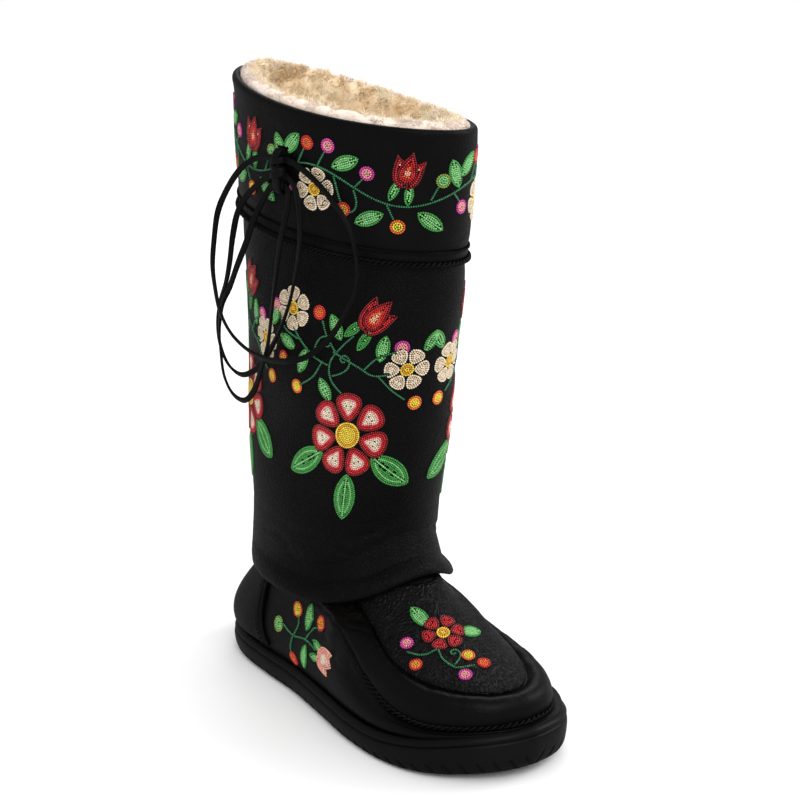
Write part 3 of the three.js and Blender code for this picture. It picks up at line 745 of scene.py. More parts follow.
def make_grain_group() -> bpy.types.NodeTree:
    """Build the leather grain: pebbles between fine branching lines.

    Returns:
        The group, which gives a height and a mask of its hollows.
    """
    tree, start, end = new_group(
        "pebbled_grain", [("Scale", "Float", 700.0), ("Lines", "Float", 0.5)],
        [("Height", "Float"), ("Hollows", "Float")])
    place = tree.add("TexCoord").outputs["Object"]
    warp = tree.add("TexNoise", Vector=place, Scale=260.0, Detail=3.0)
    bent = tree.add("VectorMath", {"operation": "MULTIPLY_ADD"},
                    _0=warp.outputs["Color"], _1=(0.0016,) * 3, _2=place).outputs[0]
    pebbles = tree.add("TexVoronoi", {"feature": "DISTANCE_TO_EDGE"}, Vector=bent,
                       Scale=start.outputs["Scale"])
    hollow = tree.add("MapRange", Value=pebbles.outputs["Distance"], From_Max=0.22,
                      To_Min=1.0, To_Max=0.0).outputs[0]
    fold_scale = tree.sums("MULTIPLY", start.outputs["Scale"], 0.16)
    folds = tree.add("TexVoronoi", {"feature": "DISTANCE_TO_EDGE"}, Vector=bent, Scale=fold_scale)
    line = tree.add("MapRange", Value=folds.outputs["Distance"], From_Max=0.05,
                    To_Min=1.0, To_Max=0.0).outputs[0]
    lines = tree.sums("MULTIPLY", line, start.outputs["Lines"])
    deep = tree.sums("MAXIMUM", hollow, lines)
    tree.tree.links.new(tree.sums("SUBTRACT", 1.0, deep), end.inputs["Height"])
    tree.tree.links.new(deep, end.inputs["Hollows"])
    return tree.tree


def make_mottle_group() -> bpy.types.NodeTree:
    """Build the slow unevenness of a finish.

    Returns:
        The group, which gives a colour between two and a mask.
    """
    tree, start, end = new_group(
        "slow_mottle",
        [("Scale", "Float", 30.0), ("First", "Color", (0, 0, 0, 1)), ("Second", "Color", (1, 1, 1, 1))],
        [("Color", "Color"), ("Mask", "Float")])
    place = tree.add("TexCoord").outputs["Object"]
    noise = tree.add("TexNoise", Vector=place, Scale=start.outputs["Scale"], Detail=5.0, Roughness=0.6)
    mask = tree.add("MapRange", Value=noise.outputs[0], From_Min=0.32, From_Max=0.68).outputs[0]
    colour = tree.add("Mix", {"data_type": "RGBA"}, Factor=mask,
                      _6=start.outputs["First"], _7=start.outputs["Second"])
    tree.tree.links.new(colour.outputs[2], end.inputs["Color"])
    tree.tree.links.new(mask, end.inputs["Mask"])
    return tree.tree


class Groups:
    """The shader groups that several finishes use."""

    def __init__(self) -> None:
        """Build each group once."""
        self.grain = make_grain_group()
        self.mottle = make_mottle_group()


def new_material(name: str) -> tuple[bpy.types.Material, Tree]:
    """Start a material with an empty tree.

    Args:
        name: its name.

    Returns:
        The material and its tree.
    """
    material = bpy.data.materials.new(name)
    material.use_nodes = True
    material.node_tree.nodes.clear()
    return material, Tree(material.node_tree)


@dataclass(frozen=True)
class Skin:
    """A finish of leather, rubber, wool or thread."""

    name: str
    dark: tuple[float, float, float]
    light: tuple[float, float, float]
    rough: float = 0.5  # where it is smoothest
    shine: float = 0.2  # specular level
    grain: float = 0.0  # scale of the grain, or 0 for none
    lines: float = 0.4  # strength of the longer lines in the grain
    relief: float = 0.00006  # height of the grain, in metres
    sheen: float = 0.0
    mottle: float = 30.0  # scale of the mottle

    def make(self, groups: Groups) -> bpy.types.Material:
        """Build the material.

        Args:
            groups: the shared shader groups.

        Returns:
            The material.
        """
        material, tree = new_material(self.name)
        mottle = tree.add("Group", {"node_tree": groups.mottle}, Scale=self.mottle,
                          First=(*self.dark, 1.0), Second=(*self.light, 1.0))
        shader = tree.add("BsdfPrincipled", Specular_IOR_Level=self.shine, Sheen_Weight=self.sheen,
                          Sheen_Roughness=0.6, Base_Color=mottle.outputs["Color"])
        rough = tree.add("MapRange", Value=mottle.outputs["Mask"],
                         To_Min=self.rough, To_Max=self.rough + 0.1).outputs[0]
        if self.grain:
            grain = tree.add("Group", {"node_tree": groups.grain}, Scale=self.grain, Lines=self.lines)
            bump = tree.add("Bump", Height=grain.outputs["Height"], Distance=self.relief, Strength=1.0)
            rough = tree.sums("MULTIPLY_ADD", grain.outputs["Hollows"], 0.12)
            rough.node.inputs[2].default_value = self.rough
            tree.tree.links.new(bump.outputs[0], shader.inputs["Normal"])
        tree.tree.links.new(rough, shader.inputs["Roughness"])
        tree.add("OutputMaterial", _0=shader.outputs[0])
        return material


class BeadColour(Enum):
    """Colours of the glass beads."""

    DARK_RED = (0.19, 0.006, 0.01)
    RED = (0.56, 0.012, 0.016)
    PINK = (0.86, 0.33, 0.33)
    CREAM = (0.86, 0.74, 0.56)
    TAN = (0.72, 0.52, 0.33)
    AMBER = (0.78, 0.3, 0.03)
    YELLOW = (0.88, 0.66, 0.05)
    GREEN = (0.045, 0.3, 0.05)
    LIGHT_GREEN = (0.22, 0.58, 0.2)
    OLIVE = (0.22, 0.31, 0.05)
    VINE = (0.02, 0.16, 0.06)
    MAGENTA = (0.6, 0.03, 0.34)
    ORANGE = (0.8, 0.13, 0.02)
    SALMON = (0.86, 0.42, 0.28)


def make_bead_glass(colour: BeadColour) -> bpy.types.Material:
    """Build one colour of bead: opaque glass, each a little lighter or darker.

    Args:
        colour: the colour.

    Returns:
        The material.
    """
    material, tree = new_material("bead_" + colour.name.lower())
    island = tree.add("NewGeometry").outputs["Random Per Island"]
    deep = tuple(value * 0.72 for value in colour.value)
    mixed = tree.add("Mix", {"data_type": "RGBA"}, Factor=island, _6=(*deep, 1.0), _7=(*colour.value, 1.0))
    shader = tree.add("BsdfPrincipled", Base_Color=mixed.outputs[2], Roughness=0.22,
                      Specular_IOR_Level=0.5, Coat_Weight=0.3, Coat_Roughness=0.12)
    tree.add("OutputMaterial", _0=shader.outputs[0])
    return material


@dataclass(frozen=True)
class Finishes:
    """Every finish of the boot."""

    shaft: Skin = Skin("satin_shaft_leather", (0.0016, 0.0016, 0.0017), (0.0026, 0.0026, 0.0027),
                       rough=0.39, shine=0.11, grain=520, lines=0.9, relief=0.00022)
    cuff: Skin = Skin("satin_cuff_leather", (0.002, 0.002, 0.0021), (0.003, 0.003, 0.0031),
                      rough=0.4, shine=0.1, grain=620, lines=0.6, relief=0.0001)
    foot: Skin = Skin("smooth_foot_leather", (0.002, 0.002, 0.0021), (0.003, 0.003, 0.0031),
                      rough=0.36, shine=0.11, grain=700, lines=0.25, relief=0.00006)
    apron: Skin = Skin("pebbled_apron_leather", (0.0024, 0.0024, 0.0025), (0.004, 0.004, 0.0041),
                       rough=0.38, shine=0.16, grain=360, lines=1.0, relief=0.00045)
    counter: Skin = Skin("counter_leather", (0.003, 0.003, 0.0031), (0.0042, 0.0042, 0.0043),
                         rough=0.42, shine=0.1, grain=620, lines=0.4)
    rubber: Skin = Skin("sole_rubber", (0.0026, 0.0026, 0.0027), (0.0038, 0.0038, 0.0039),
                        rough=0.38, shine=0.14, grain=2400, lines=0.0, relief=0.000015)
    lace: Skin = Skin("tie_leather_strap", (0.0022, 0.0021, 0.002), (0.0042, 0.004, 0.0038),
                      rough=0.4, shine=0.11, grain=900, lines=0.3, relief=0.00003)
    thread: Skin = Skin("waxed_black_thread", (0.004, 0.004, 0.004), (0.008, 0.008, 0.008),
                        rough=0.5, shine=0.15)
    rim_wool: Skin = Skin("shorn_rim_wool", (0.84, 0.69, 0.58), (0.94, 0.83, 0.73),
                          rough=0.9, shine=0.05, sheen=0.3, mottle=90)
    wool: Skin = Skin("loose_wool", (0.88, 0.66, 0.4), (0.98, 0.87, 0.67),
                      rough=0.9, shine=0.05, sheen=0.3, mottle=60)
    felt: Skin = Skin("footbed_wool_felt", (0.5, 0.36, 0.24), (0.66, 0.5, 0.35),
                      rough=0.95, shine=0.05, mottle=200)


class Dressing:
    """Builds each material once and hands it out."""

    def __init__(self) -> None:
        """Build the groups and the materials."""
        groups = Groups()
        kinds = Finishes()
        self.made = {name: getattr(kinds, name).make(groups) for name in kinds.__dataclass_fields__}
        self.beads = [make_bead_glass(colour) for colour in BeadColour]

    def of(self, name: str) -> bpy.types.Material:
        """Give the material of a finish by its name."""
        return self.made[name]


# Camera, floor and lights


@dataclass
class Studio:
    """The photograph's camera, a plain pale floor and soft lights."""

    azimuth: float = -39.0
    elevation: float = 17.4
    roll: float = -0.3
    distance: float = 1.3
    focal: float = 2295.0
    frame_width: float = 800.0
    target: tuple[float, float, float] = (0.0042293, -0.098, 0.2175)
    shift: float = -0.111  # sideways, in shares of the frame's width
    room: float = 1.02
    room_in_reflections: float = 0.3
    floor_grey: float = 0.93
    floor_grey_in_reflections: float = 0.3

    def make_camera(self) -> None:
        """Place the camera where the photograph was taken from."""
        a, e, r = (math.radians(v) for v in (self.azimuth, self.elevation, self.roll))
        back = np.array([math.sin(a) * math.cos(e), -math.cos(a) * math.cos(e), math.sin(e)])
        right = unit(np.cross(-back, [0.0, 0.0, 1.0]))
        up = np.cross(right, -back)
        turned = math.cos(r) * right - math.sin(r) * up
        upward = math.sin(r) * right + math.cos(r) * up
        place = np.array(self.target) + back * self.distance
        data = bpy.data.cameras.new("camera")
        data.sensor_width = 36.0
        data.lens = self.focal / self.frame_width * data.sensor_width
        data.shift_x = self.shift
        camera = bpy.data.objects.new("camera", data)
        axes = np.stack([turned, upward, back, place], 1)
        camera.matrix_world = Matrix([*axes.tolist(), [0, 0, 0, 1]])
        bpy.context.scene.collection.objects.link(camera)
        bpy.context.scene.camera = camera

    def make_floor(self) -> None:
        """Lay the pale floor."""
        half = 9.0
        mesh = bpy.data.meshes.new("floor")
        mesh.from_pydata([(-half, -half, 0), (half, -half, 0), (half, half, 0), (-half, half, 0)],
                         [], [(0, 1, 2, 3)])
        material, tree = new_material("pale_floor")
        kind = tree.add("LightPath")
        colour = tree.add("Mix", {"data_type": "RGBA"}, Factor=kind.outputs["Is Glossy Ray"],
                          _6=(*[self.floor_grey] * 3, 1.0), _7=(*[self.floor_grey_in_reflections] * 3, 1.0))
        shader = tree.add("BsdfPrincipled", Base_Color=colour.outputs[2], Roughness=0.9,
                          Specular_IOR_Level=0.1)
        tree.add("OutputMaterial", _0=shader.outputs[0])
        mesh.materials.append(material)
        floor = bpy.data.objects.new("floor", mesh)
        bpy.context.scene.collection.objects.link(floor)

    def add_light(self, name: str, place: tuple[float, float, float], size: float, power: float) -> None:
        """Add a soft square light that faces the boot.

        Args:
            name: its name.
            place: where it hangs, in metres.
            size: its side, in metres.
            power: its power, in watts.
        """
        data = bpy.data.lights.new(name, "AREA")
        data.size = size
        data.energy = power
        light = bpy.data.objects.new(name, data)
        back = unit(np.array(place) - np.array([0.0, 0.0, 0.18]))
        right = unit(np.cross([0.0, 0.0, 1.0], back))
        axes = np.stack([right, np.cross(back, right), back, np.array(place)], 1)
        light.matrix_world = Matrix([*axes.tolist(), [0, 0, 0, 1]])
        bpy.context.scene.collection.objects.link(light)

    def make_lights(self) -> None:
        """Hang the soft lights and set the room's own light."""
        world = bpy.data.worlds.new("studio")
        world.use_nodes = True
        world.node_tree.nodes.clear()
        tree = Tree(world.node_tree)
        kind = tree.add("LightPath")
        sky = tree.add("Background", Color=(1, 1, 1, 1), Strength=self.room)
        dim = tree.add("Background", Strength=self.room_in_reflections)
        pick = tree.add("MixShader", _0=kind.outputs["Is Glossy Ray"], _1=sky.outputs[0], _2=dim.outputs[0])
        tree.add("OutputWorld", _0=pick.outputs[0])
        bpy.context.scene.world = world
        self.add_light("soft_key", (-0.6, -1.8, 1.8), 1.2, 22.0)
        self.add_light("soft_side", (2.0, -0.7, 1.3), 1.1, 20.0)
        self.add_light("soft_back", (1.5, 1.6, 1.9), 1.3, 12.0)
        bpy.context.scene.view_settings.view_transform = "Standard"


@dataclass
class Part:
    """A sub-assembly of the boot, with the form and the finishes that it is made from."""

    last: Last
    dressing: Dressing

    def make(self, name: str, points: Array, faces: Sequence[Array], finish: str, slot: str,
             node: str = "") -> bpy.types.Object:
        """Make a piece in one finish.

        Args:
            name: the piece's name.
            points: its points.
            faces: its faces.
            finish: the name of its finish.
            slot: a material slot's name; not used.
            node: the solid that it stands for, if it does for one.

        Returns:
            The piece.
        """
        piece = build_mesh(name, points, faces, [self.dressing.of(finish)])
        if node:
            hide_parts(node)
        return piece


# The tie


@dataclass
class Tie(Part):
    """The leather strap through the cuff and the three loops that it holds."""

    turn: float = 1.63
    drop: float = 38.0
    face: float = 2.5
    strap_width: float = 3.7
    strap_thickness: float = 1.7
    strap_unevenness: float = 0.05
    # down from the strap's middle, and slant
    wraps: tuple[tuple[float, float], ...] = ((-6.5, 1.0), (-2.6, -1.6), (1.8, 1.4))
    leg: float = 12.5
    roof: float = 5.7
    # along the cuff towards the heel, down from the strap's middle, out from the cuff
    wide: tuple[tuple[float, float, float], ...] = (
        (1, -7, 2.3), (15, -6, 3), (26, -3, 4), (38, 5, 6), (49, 18, 8), (57, 33, 10), (59, 50, 12),
        (60, 66, 13), (58, 80, 13), (53, 94, 13), (41, 105, 13), (23, 111, 13), (3, 112, 13),
        (-16, 109, 11), (-29, 104, 6), (-41, 92, -1), (-50, 76, -6), (-57, 58, -9), (-60, 40, -7),
        (-56, 23, -5), (-46, 11, -2), (-34, 2, 0), (-20, -5, 2), (-8, -7.5, 2.6), (-1.5, -7, 2.3))
    narrow: tuple[tuple[float, float, float], ...] = (
        (1, 0, 2.3), (14, 6, 3), (22, 11, 3.6), (34, 20, 4), (44, 32, 4.4), (50, 48, 4.6),
        (54, 64, 4.6), (59, 78, 4.6), (66, 91, 4.6), (70, 104, 4.6), (68, 118, 4.6),
        (60, 129, 4.6), (47, 133, 4.6), (34, 129, 4.6), (20, 119, 4.6), (4, 99, 4.6),
        (-9, 77, 4.6), (-18, 54, 5), (-23, 35, 5.6), (-20, 17, 4), (-14, 6, 3), (-1.5, 0, 2.3))
    long: tuple[tuple[float, float, float], ...] = (
        (1, 7, 2.3), (10, 11, 2.8), (17, 20, 4), (24, 32, 6), (30, 47, 8), (39, 63, 9),
        (48, 78, 9), (57, 91, 9), (61, 107, 9), (60, 123, 9), (57, 136, 9), (48, 145, 9),
        (35, 146, 9), (24, 137, 9), (16, 122, 9), (8, 105, 9), (2, 77, 8.6), (-3, 52, 8),
        (-7, 34, 7), (-9, 21, 4.5), (-8, 12, 3), (-5, 8, 2.5), (-1.2, 7, 2.3))

    def anchor(self) -> Array:
        """Give the strap's middle on the cuff's face.

        Returns:
            The point.
        """
        turn = np.array([self.turn])
        points, _ = self.last.shaft(turn, self.last.rise_at(turn, np.array([self.drop])), self.face)
        return points[0]

    def place(self, table: Array) -> Array:
        """Turn rows of along, down and out into points."""
        table = np.asarray(table, float)
        return self.anchor() + np.column_stack([-table[:, 2], table[:, 0], -table[:, 1]])

    def build_loop(self, name: str, table: Sequence[tuple[float, float, float]], twist: float) -> None:
        """Make one loop of flat leather strap.

        Args:
            name: the loop's name.
            table: its route.
            twist: how far the strap turns about its own line, in turns.
        """
        path = curve(self.place(table), 1.9)
        _, side, across = path_frame(path, np.array([-1.0, -0.12, 0.0]))
        run = np.linspace(0, 1, len(path))
        angle = twist * TURN * np.sin(math.pi * run) * np.sin(TURN * run * 1.5 + 0.7)
        wide = side * np.cos(angle)[:, None] + across * np.sin(angle)[:, None]
        thick = across * np.cos(angle)[:, None] - side * np.sin(angle)[:, None]
        section = oval_section(self.strap_width, self.strap_thickness, 12, 0.45)
        uneven = 1.0 + self.strap_unevenness * np.sin(run * 60.0) * np.sin(run * 23.0)
        section = section * uneven[:, None, None]
        points, quads, caps = sweep(path, wide, thick, section)
        piece = self.make(name + "_strap", points, [quads, caps], "lace", "loop_leather", name)

    def build_strap(self) -> None:
        """Make the strap through the cuff, with the wraps that hold the loops."""
        leg, roof = self.leg, self.roof
        route = [(0, -leg, -1.6), (0, -leg - 0.1, 1.2), (0, -leg + 0.2, 3.6), (0, -leg + 2.4, roof - 0.4),
                 (0, -leg + 6, roof + 0.1), (0, 0, roof + 0.25), (0, leg - 6, roof + 0.1),
                 (0, leg - 2.4, roof - 0.4), (0, leg - 0.2, 3.6), (0, leg + 0.1, 1.2), (0, leg, -1.6)]
        path = curve(self.place(route), 0.7)
        side = np.tile([0.0, 1.0, 0.0], (len(path), 1))
        across = np.cross(side, unit(np.gradient(path, axis=0)))
        run = np.linspace(-1, 1, len(path))
        width = 5.4 + 1.5 * (1 - run ** 2)
        section = oval_section(1.0, 1.9, 14, 0.45)[None].repeat(len(path), 0)
        section[:, :, 0] *= width[:, None]
        points, quads, caps = sweep(path, side, across, section)
        parts, faces = [points], [quads, caps]
        angle = np.linspace(-0.25, 0.77, 44) * TURN
        for down, slant in self.wraps:
            band = self.place(np.column_stack([
                5.0 * np.cos(angle), down + slant * np.cos(angle), 4.3 + 3.3 * np.sin(angle)]))
            along = unit(np.gradient(band, axis=0))
            wide = np.tile([0.0, 0.0, 1.0], (len(band), 1))
            made, sides, ends = sweep(band, wide, np.cross(wide, along), oval_section(3.9, 1.7, 10, 0.6))
            shift = sum(len(part) for part in parts)
            parts.append(made)
            faces += [sides + shift, ends + shift]
        self.make("tie_wrapped_strap", np.concatenate(parts), faces, "lace", "tie_leather", "tie_bar")

    def build(self) -> None:
        """Make the loops and the strap."""
        self.build_loop("tie_loop_wide", self.wide, 0.1)
        self.build_loop("tie_loop_narrow", self.narrow, 0.14)
        self.build_loop("tie_loop_long", self.long, 0.12)
        self.build_strap()
        log.info("tie: three loops and their strap")


# The sole


@dataclass
class Outsole(Part):
    """The moulded cup sole with its bead, groove, sipes and tread."""

    columns: int = 1200
    sipe_pitch: float = 10.0
    sipe_width: float = 1.3
    sipe_depth: float = 1.5
    sipe_height: float = 9.0
    sipe_lean: float = 0.85
    tread_depth: float = 3.2
    tread_gap: float = 3.6
    arch: float = 3.5
    groove_line: float = 18.7
    channel_lean: float = 0.12
    # first and last place as shares of the length, and count
    channels: tuple[tuple[float, float, int], ...] = ((-0.43, -0.13, 8), (0.19, 0.42, 6))
    # inset from the plan and height, from the tread's edge up to the rim
    wall: tuple[tuple[float, float], ...] = (
        (9, 0), (7, 0), (5.6, 0.08), (4.4, 0.4), (3.3, 1.05), (2.45, 1.95), (1.8, 3.0), (1.35, 4.2),
        (1.0, 5.5), (0.8, 6.5), (0.65, 7.4), (0.5, 8.4), (0.3, 10.2), (0.1, 12.6), (0, 15.0),
        (0.06, 16.8), (0.25, 18.0), (0.6, 18.8), (1.2, 19.3), (1.7, 19.6), (1.75, 19.85),
        (1.1, 20.1), (0.55, 20.6), (0.4, 21.2), (0.55, 21.9), (0.95, 22.6), (1.55, 23.3),
        (2.3, 23.9), (3.2, 24.4), (4.1, 24.7))

    def arch_rise(self, y: Array) -> Array:
        """Give the hollow under the arch."""
        length = self.last.length
        return self.arch * step(-0.1 * length, 0, y) * (1 - step(0.06 * length, 0.16 * length, y))

    def build_wall(self) -> tuple[Array, Array]:
        """Make the side, the rim and the inside of the cup.

        Returns:
            The points and the faces.
        """
        turn = turns_of(self.columns)
        plan = self.last.sole_ring(0)
        flat = self.last.plan(plan, turn)
        steps = np.linalg.norm(np.roll(flat, -1, axis=0) - flat, axis=1)
        run = np.concatenate([[0], np.cumsum(steps)[:-1]])
        pitch = steps.sum() / round(steps.sum() / self.sipe_pitch)
        rings = []
        for inset, height in self.wall:
            slant = np.where(turn < math.pi, 1.0, -1.0) * self.sipe_lean * height
            place = np.mod(run + slant, pitch) - pitch / 2
            cut = 1 - step(self.sipe_width * 0.25, self.sipe_width * 0.7, np.abs(place))
            fade = step(0.0, 2.0, height) * (1 - step(self.sipe_height * 0.75, self.sipe_height, height))
            spot = self.last.offset(plan, turn, -(inset + self.sipe_depth * cut * fade))
            drop = self.last.drop_at(spot[:, 1]) * min(height / self.groove_line, 1.0)
            rings.append(np.column_stack([spot, height - drop + self.last.spring_at(spot[:, 1])]))
        seat = self.last.sole_ring(self.last.cup_wall + self.last.gap)
        for out, height in ((1.0, self.last.rim), (0.0, self.last.rim - 1.0), (0.0, self.last.cup_floor)):
            spot = self.last.offset(seat, turn, np.full(len(turn), self.last.gap * 1.8 + out))
            drop = self.last.drop_at(spot[:, 1]) * float(height > self.last.cup_floor)
            rings.append(np.column_stack([spot, height - drop + self.last.spring_at(spot[:, 1])]))
        return np.concatenate(rings), grid_faces(len(rings), self.columns)

    def build_tread(self, start: int) -> tuple[Array, Array]:
        """Make the underside with its arch and cross channels.

        Args:
            start: the number of its first point.

        Returns:
            The points and the faces.
        """
        margin = self.wall[0][0]
        half = self.last.length / 2 - margin
        ring = self.last.sole_ring(margin)
        rows, columns = 260, 41
        y = np.cos(np.linspace(0.02, math.pi - 0.02, rows)) * half
        turn = np.arccos(np.clip(y / half, -1, 1))
        left = self.last.plan(ring, turn)[:, 0]
        right = self.last.plan(ring, TURN - turn)[:, 0]
        share = np.linspace(0, 1, columns)
        x = left[:, None] + (right - left)[:, None] * share[None]
        y = np.broadcast_to(y[:, None], x.shape)
        height = self.last.spring_at(y) + self.arch_rise(y) * step(0, 0.12, share) * step(0, 0.12, 1 - share)
        inside = step(2, 4, x - left[:, None]) * step(2, 4, right[:, None] - x)
        for start_y, end_y, count in self.channels:
            for i in range(count):
                middle = (start_y + (end_y - start_y) * i / (count - 1)) * self.last.length
                lean = self.channel_lean if i % 2 else -self.channel_lean
                line = np.abs(y - middle - lean * (x - (left + right)[:, None] / 2))
                channel = 1 - step(self.tread_gap * 0.36, self.tread_gap * 0.62, line)
                height = np.maximum(height, self.last.spring_at(y) + self.tread_depth * channel * inside)
        points = np.stack([x, y, height], -1).reshape(-1, 3)
        return points, grid_faces(rows, columns, closed=False, start=start)

    def build(self) -> None:
        """Make the sole as one piece."""
        wall, wall_faces = self.build_wall()
        tread, tread_faces = self.build_tread(len(wall))
        floor = np.arange(self.columns) + len(wall) - self.columns
        self.make("rubber_outsole", np.concatenate([wall, tread]),
                  [wall_faces, tread_faces[:, ::-1], floor[None]], "rubber", "sole_rubber", "outsole")
        log.info("outsole: cup with bead, groove, sipes and tread")


# The foot


@dataclass
class Upper(Part):
    """The moccasin foot: one hollow skin with the gathered roll round the toe."""

    wall: float = 2.2
    columns: int = 430
    unevenness: float = 0.45
    crease_depth: float = 0.12
    gather_depth: float = 0.35
    seam_depth: float = 0.9
    fold_height: float = 1.3
    crook_depth: float = 0.7
    broad: Rumple = Rumple(11, (60, 60, 45))
    fine: Rumple = Rumple(12, (16, 20, 12), 22)
    pucker: Rumple = Rumple(13, (14, 14, 30), 20)

    def relief(self, turn: Array, row: Array) -> Array:
        """Give the skin's lift: roll, gathers, folds and creases.

        Args:
            turn: the turn of each point.
            row: its row up the foot.

        Returns:
            The lift.
        """
        points = self.last.foot_base(turn, row)
        ahead = (1 - np.cos(turn)) / 2
        exposed = step(1.4, 2.2, row)
        lift = self.last.roll_lift(turn, row)
        lift = lift + self.last.belly(row) + exposed * self.unevenness * self.broad.at(points)
        lift = lift - exposed * self.crease_depth * self.fine.crease(points, 0.22)
        gather = step(0.55, 0.7, ahead) * bell(6.5, 0.75, row)
        lift = lift + gather * self.gather_depth * self.pucker.at(points)
        seam = bell(self.last.seam_row, 0.2, row) * step(0.12, 0.2, ahead)
        lift = lift - self.seam_depth * seam
        fold = bell(0.49, 0.03, ahead + 0.02 * (row - 4)) * step(2.2, 3.2, row) * (1 - step(6, 8, row))
        lift = lift + self.fold_height * fold
        crook = bell(0.5, 0.14, ahead) * step(1.6, 2.4, row) * (1 - step(7, 9, row))
        return lift - crook * self.crook_depth * self.fine.crease(points * np.array([1, 0.7, 1.6]), 0.3)

    def build(self) -> None:
        """Make the foot's hollow skin."""
        rows = np.concatenate([
            [0, 0.6, 1], np.linspace(1.2, 3.9, 26), np.linspace(4, 7.1, 46),
            np.linspace(7.25, 9.0, 16), np.linspace(9.2, 11, 9)])
        turn = turns_of(self.columns)
        rings = []
        for row in rows:
            place = np.full(self.columns, row)
            rings.append(self.last.foot(turn, place, self.relief(turn, place))[0])
        for row in (11, 10.4, 10, 9.5, 9, 8, 7, 5.7, 4, 3, 2, 1, 0):
            rings.append(self.last.foot(turn, row, -self.wall)[0])
        self.make("moccasin_foot", np.concatenate(rings), [ring_loop(len(rings), self.columns)],
                  "foot", "foot_leather", "upper")
        self.build_seam()
        log.info("upper: hollow foot with its gathered roll")

    def build_seam(self) -> None:
        """Make the roped seam round the toe and the stitches that carry on to the heel."""
        turn = np.linspace(1.86, TURN - 1.3, 500)
        row = self.last.seam_row - 0.12 * (1 - step(1.86, 2.2, turn))
        path, normal = self.last.foot(turn, row, 0.2 + 0.8 * step(1.86, 2.1, turn))
        points, faces = rope(path, normal, 1.7, 8.4, closed=False)
        self.make("toe_seam_rope", points, faces, "foot", "foot_leather")
        turn = np.linspace(1.6, 1.9, 80)
        path, normal = self.last.foot(turn, self.last.seam_row - 0.2, 0.3)
        points, faces = stitch_row(path, normal, 3.0, 2.0, 0.8)
        self.make("side_seam_stitches", points, [faces], "thread", "foot_leather")


@dataclass
class Apron(Part):
    """The raised leather plug on top of the foot."""

    start: float = 7.15
    end: float = 10.4
    reach: float = 8.0
    inner_reach: float = 7.0
    steps: int = 36
    thickness: float = 1.4
    plump: float = 0.8
    skive_row: float = 8.5
    folds: Rumple = Rumple(21, (26, 17, 26), 22)
    fine: Rumple = Rumple(22, (8, 10, 8), 26)

    def lift(self, turn: Array, row: Array) -> Array:
        """Give the height of the plug's face over the foot.

        Args:
            turn: the turn of each point.
            row: its row up the foot.

        Returns:
            The lift.
        """
        points = self.last.foot_base(turn, row)
        skived = self.thickness * (1 - 0.5 * step(self.skive_row, self.end, row))
        outer = step(0.0, 0.9, math.pi - turn) * bell(8.0, 1.2, row)
        creases = self.folds.crease(points, 0.25) * (0.2 + 0.55 * outer)
        creases = creases + self.fine.crease(points, 0.25) * (0.08 + 0.1 * outer)
        plump = self.plump * step(self.start, self.start + 0.6, row) * (1 - step(8.6, 9.8, row))
        return self.last.gap * 1.5 + skived + plump - creases

    def build(self) -> None:
        """Make the plug with its rounded edge."""
        rows, columns = 80, 144
        row = np.repeat(np.linspace(self.start, self.end, rows), columns)
        share = np.tile(np.linspace(0, 1, columns), rows)
        place = np.linspace(-1, self.inner_reach / self.reach, columns)
        turn = math.pi + np.tile(place, rows) * self.reach / self.steps * TURN
        along = (row - self.start) / (self.end - self.start)
        edge = np.minimum.reduce([along * 22, (1 - along) * 60, share * 60, (1 - share) * 60])
        rounded = np.sqrt(1 - (1 - np.clip(edge, 0, 1)) ** 2)
        base = self.last.gap * 1.5
        top, _ = self.last.foot(turn, row, base + (self.lift(turn, row) - base) * rounded)
        under, _ = self.last.foot(turn, row, base * 0.9)
        self.make("apron_plug", np.concatenate([top, under]), slab_faces(rows, columns),
                  "apron", "apron_leather", "apron")
        log.info("apron: plug with its creases")


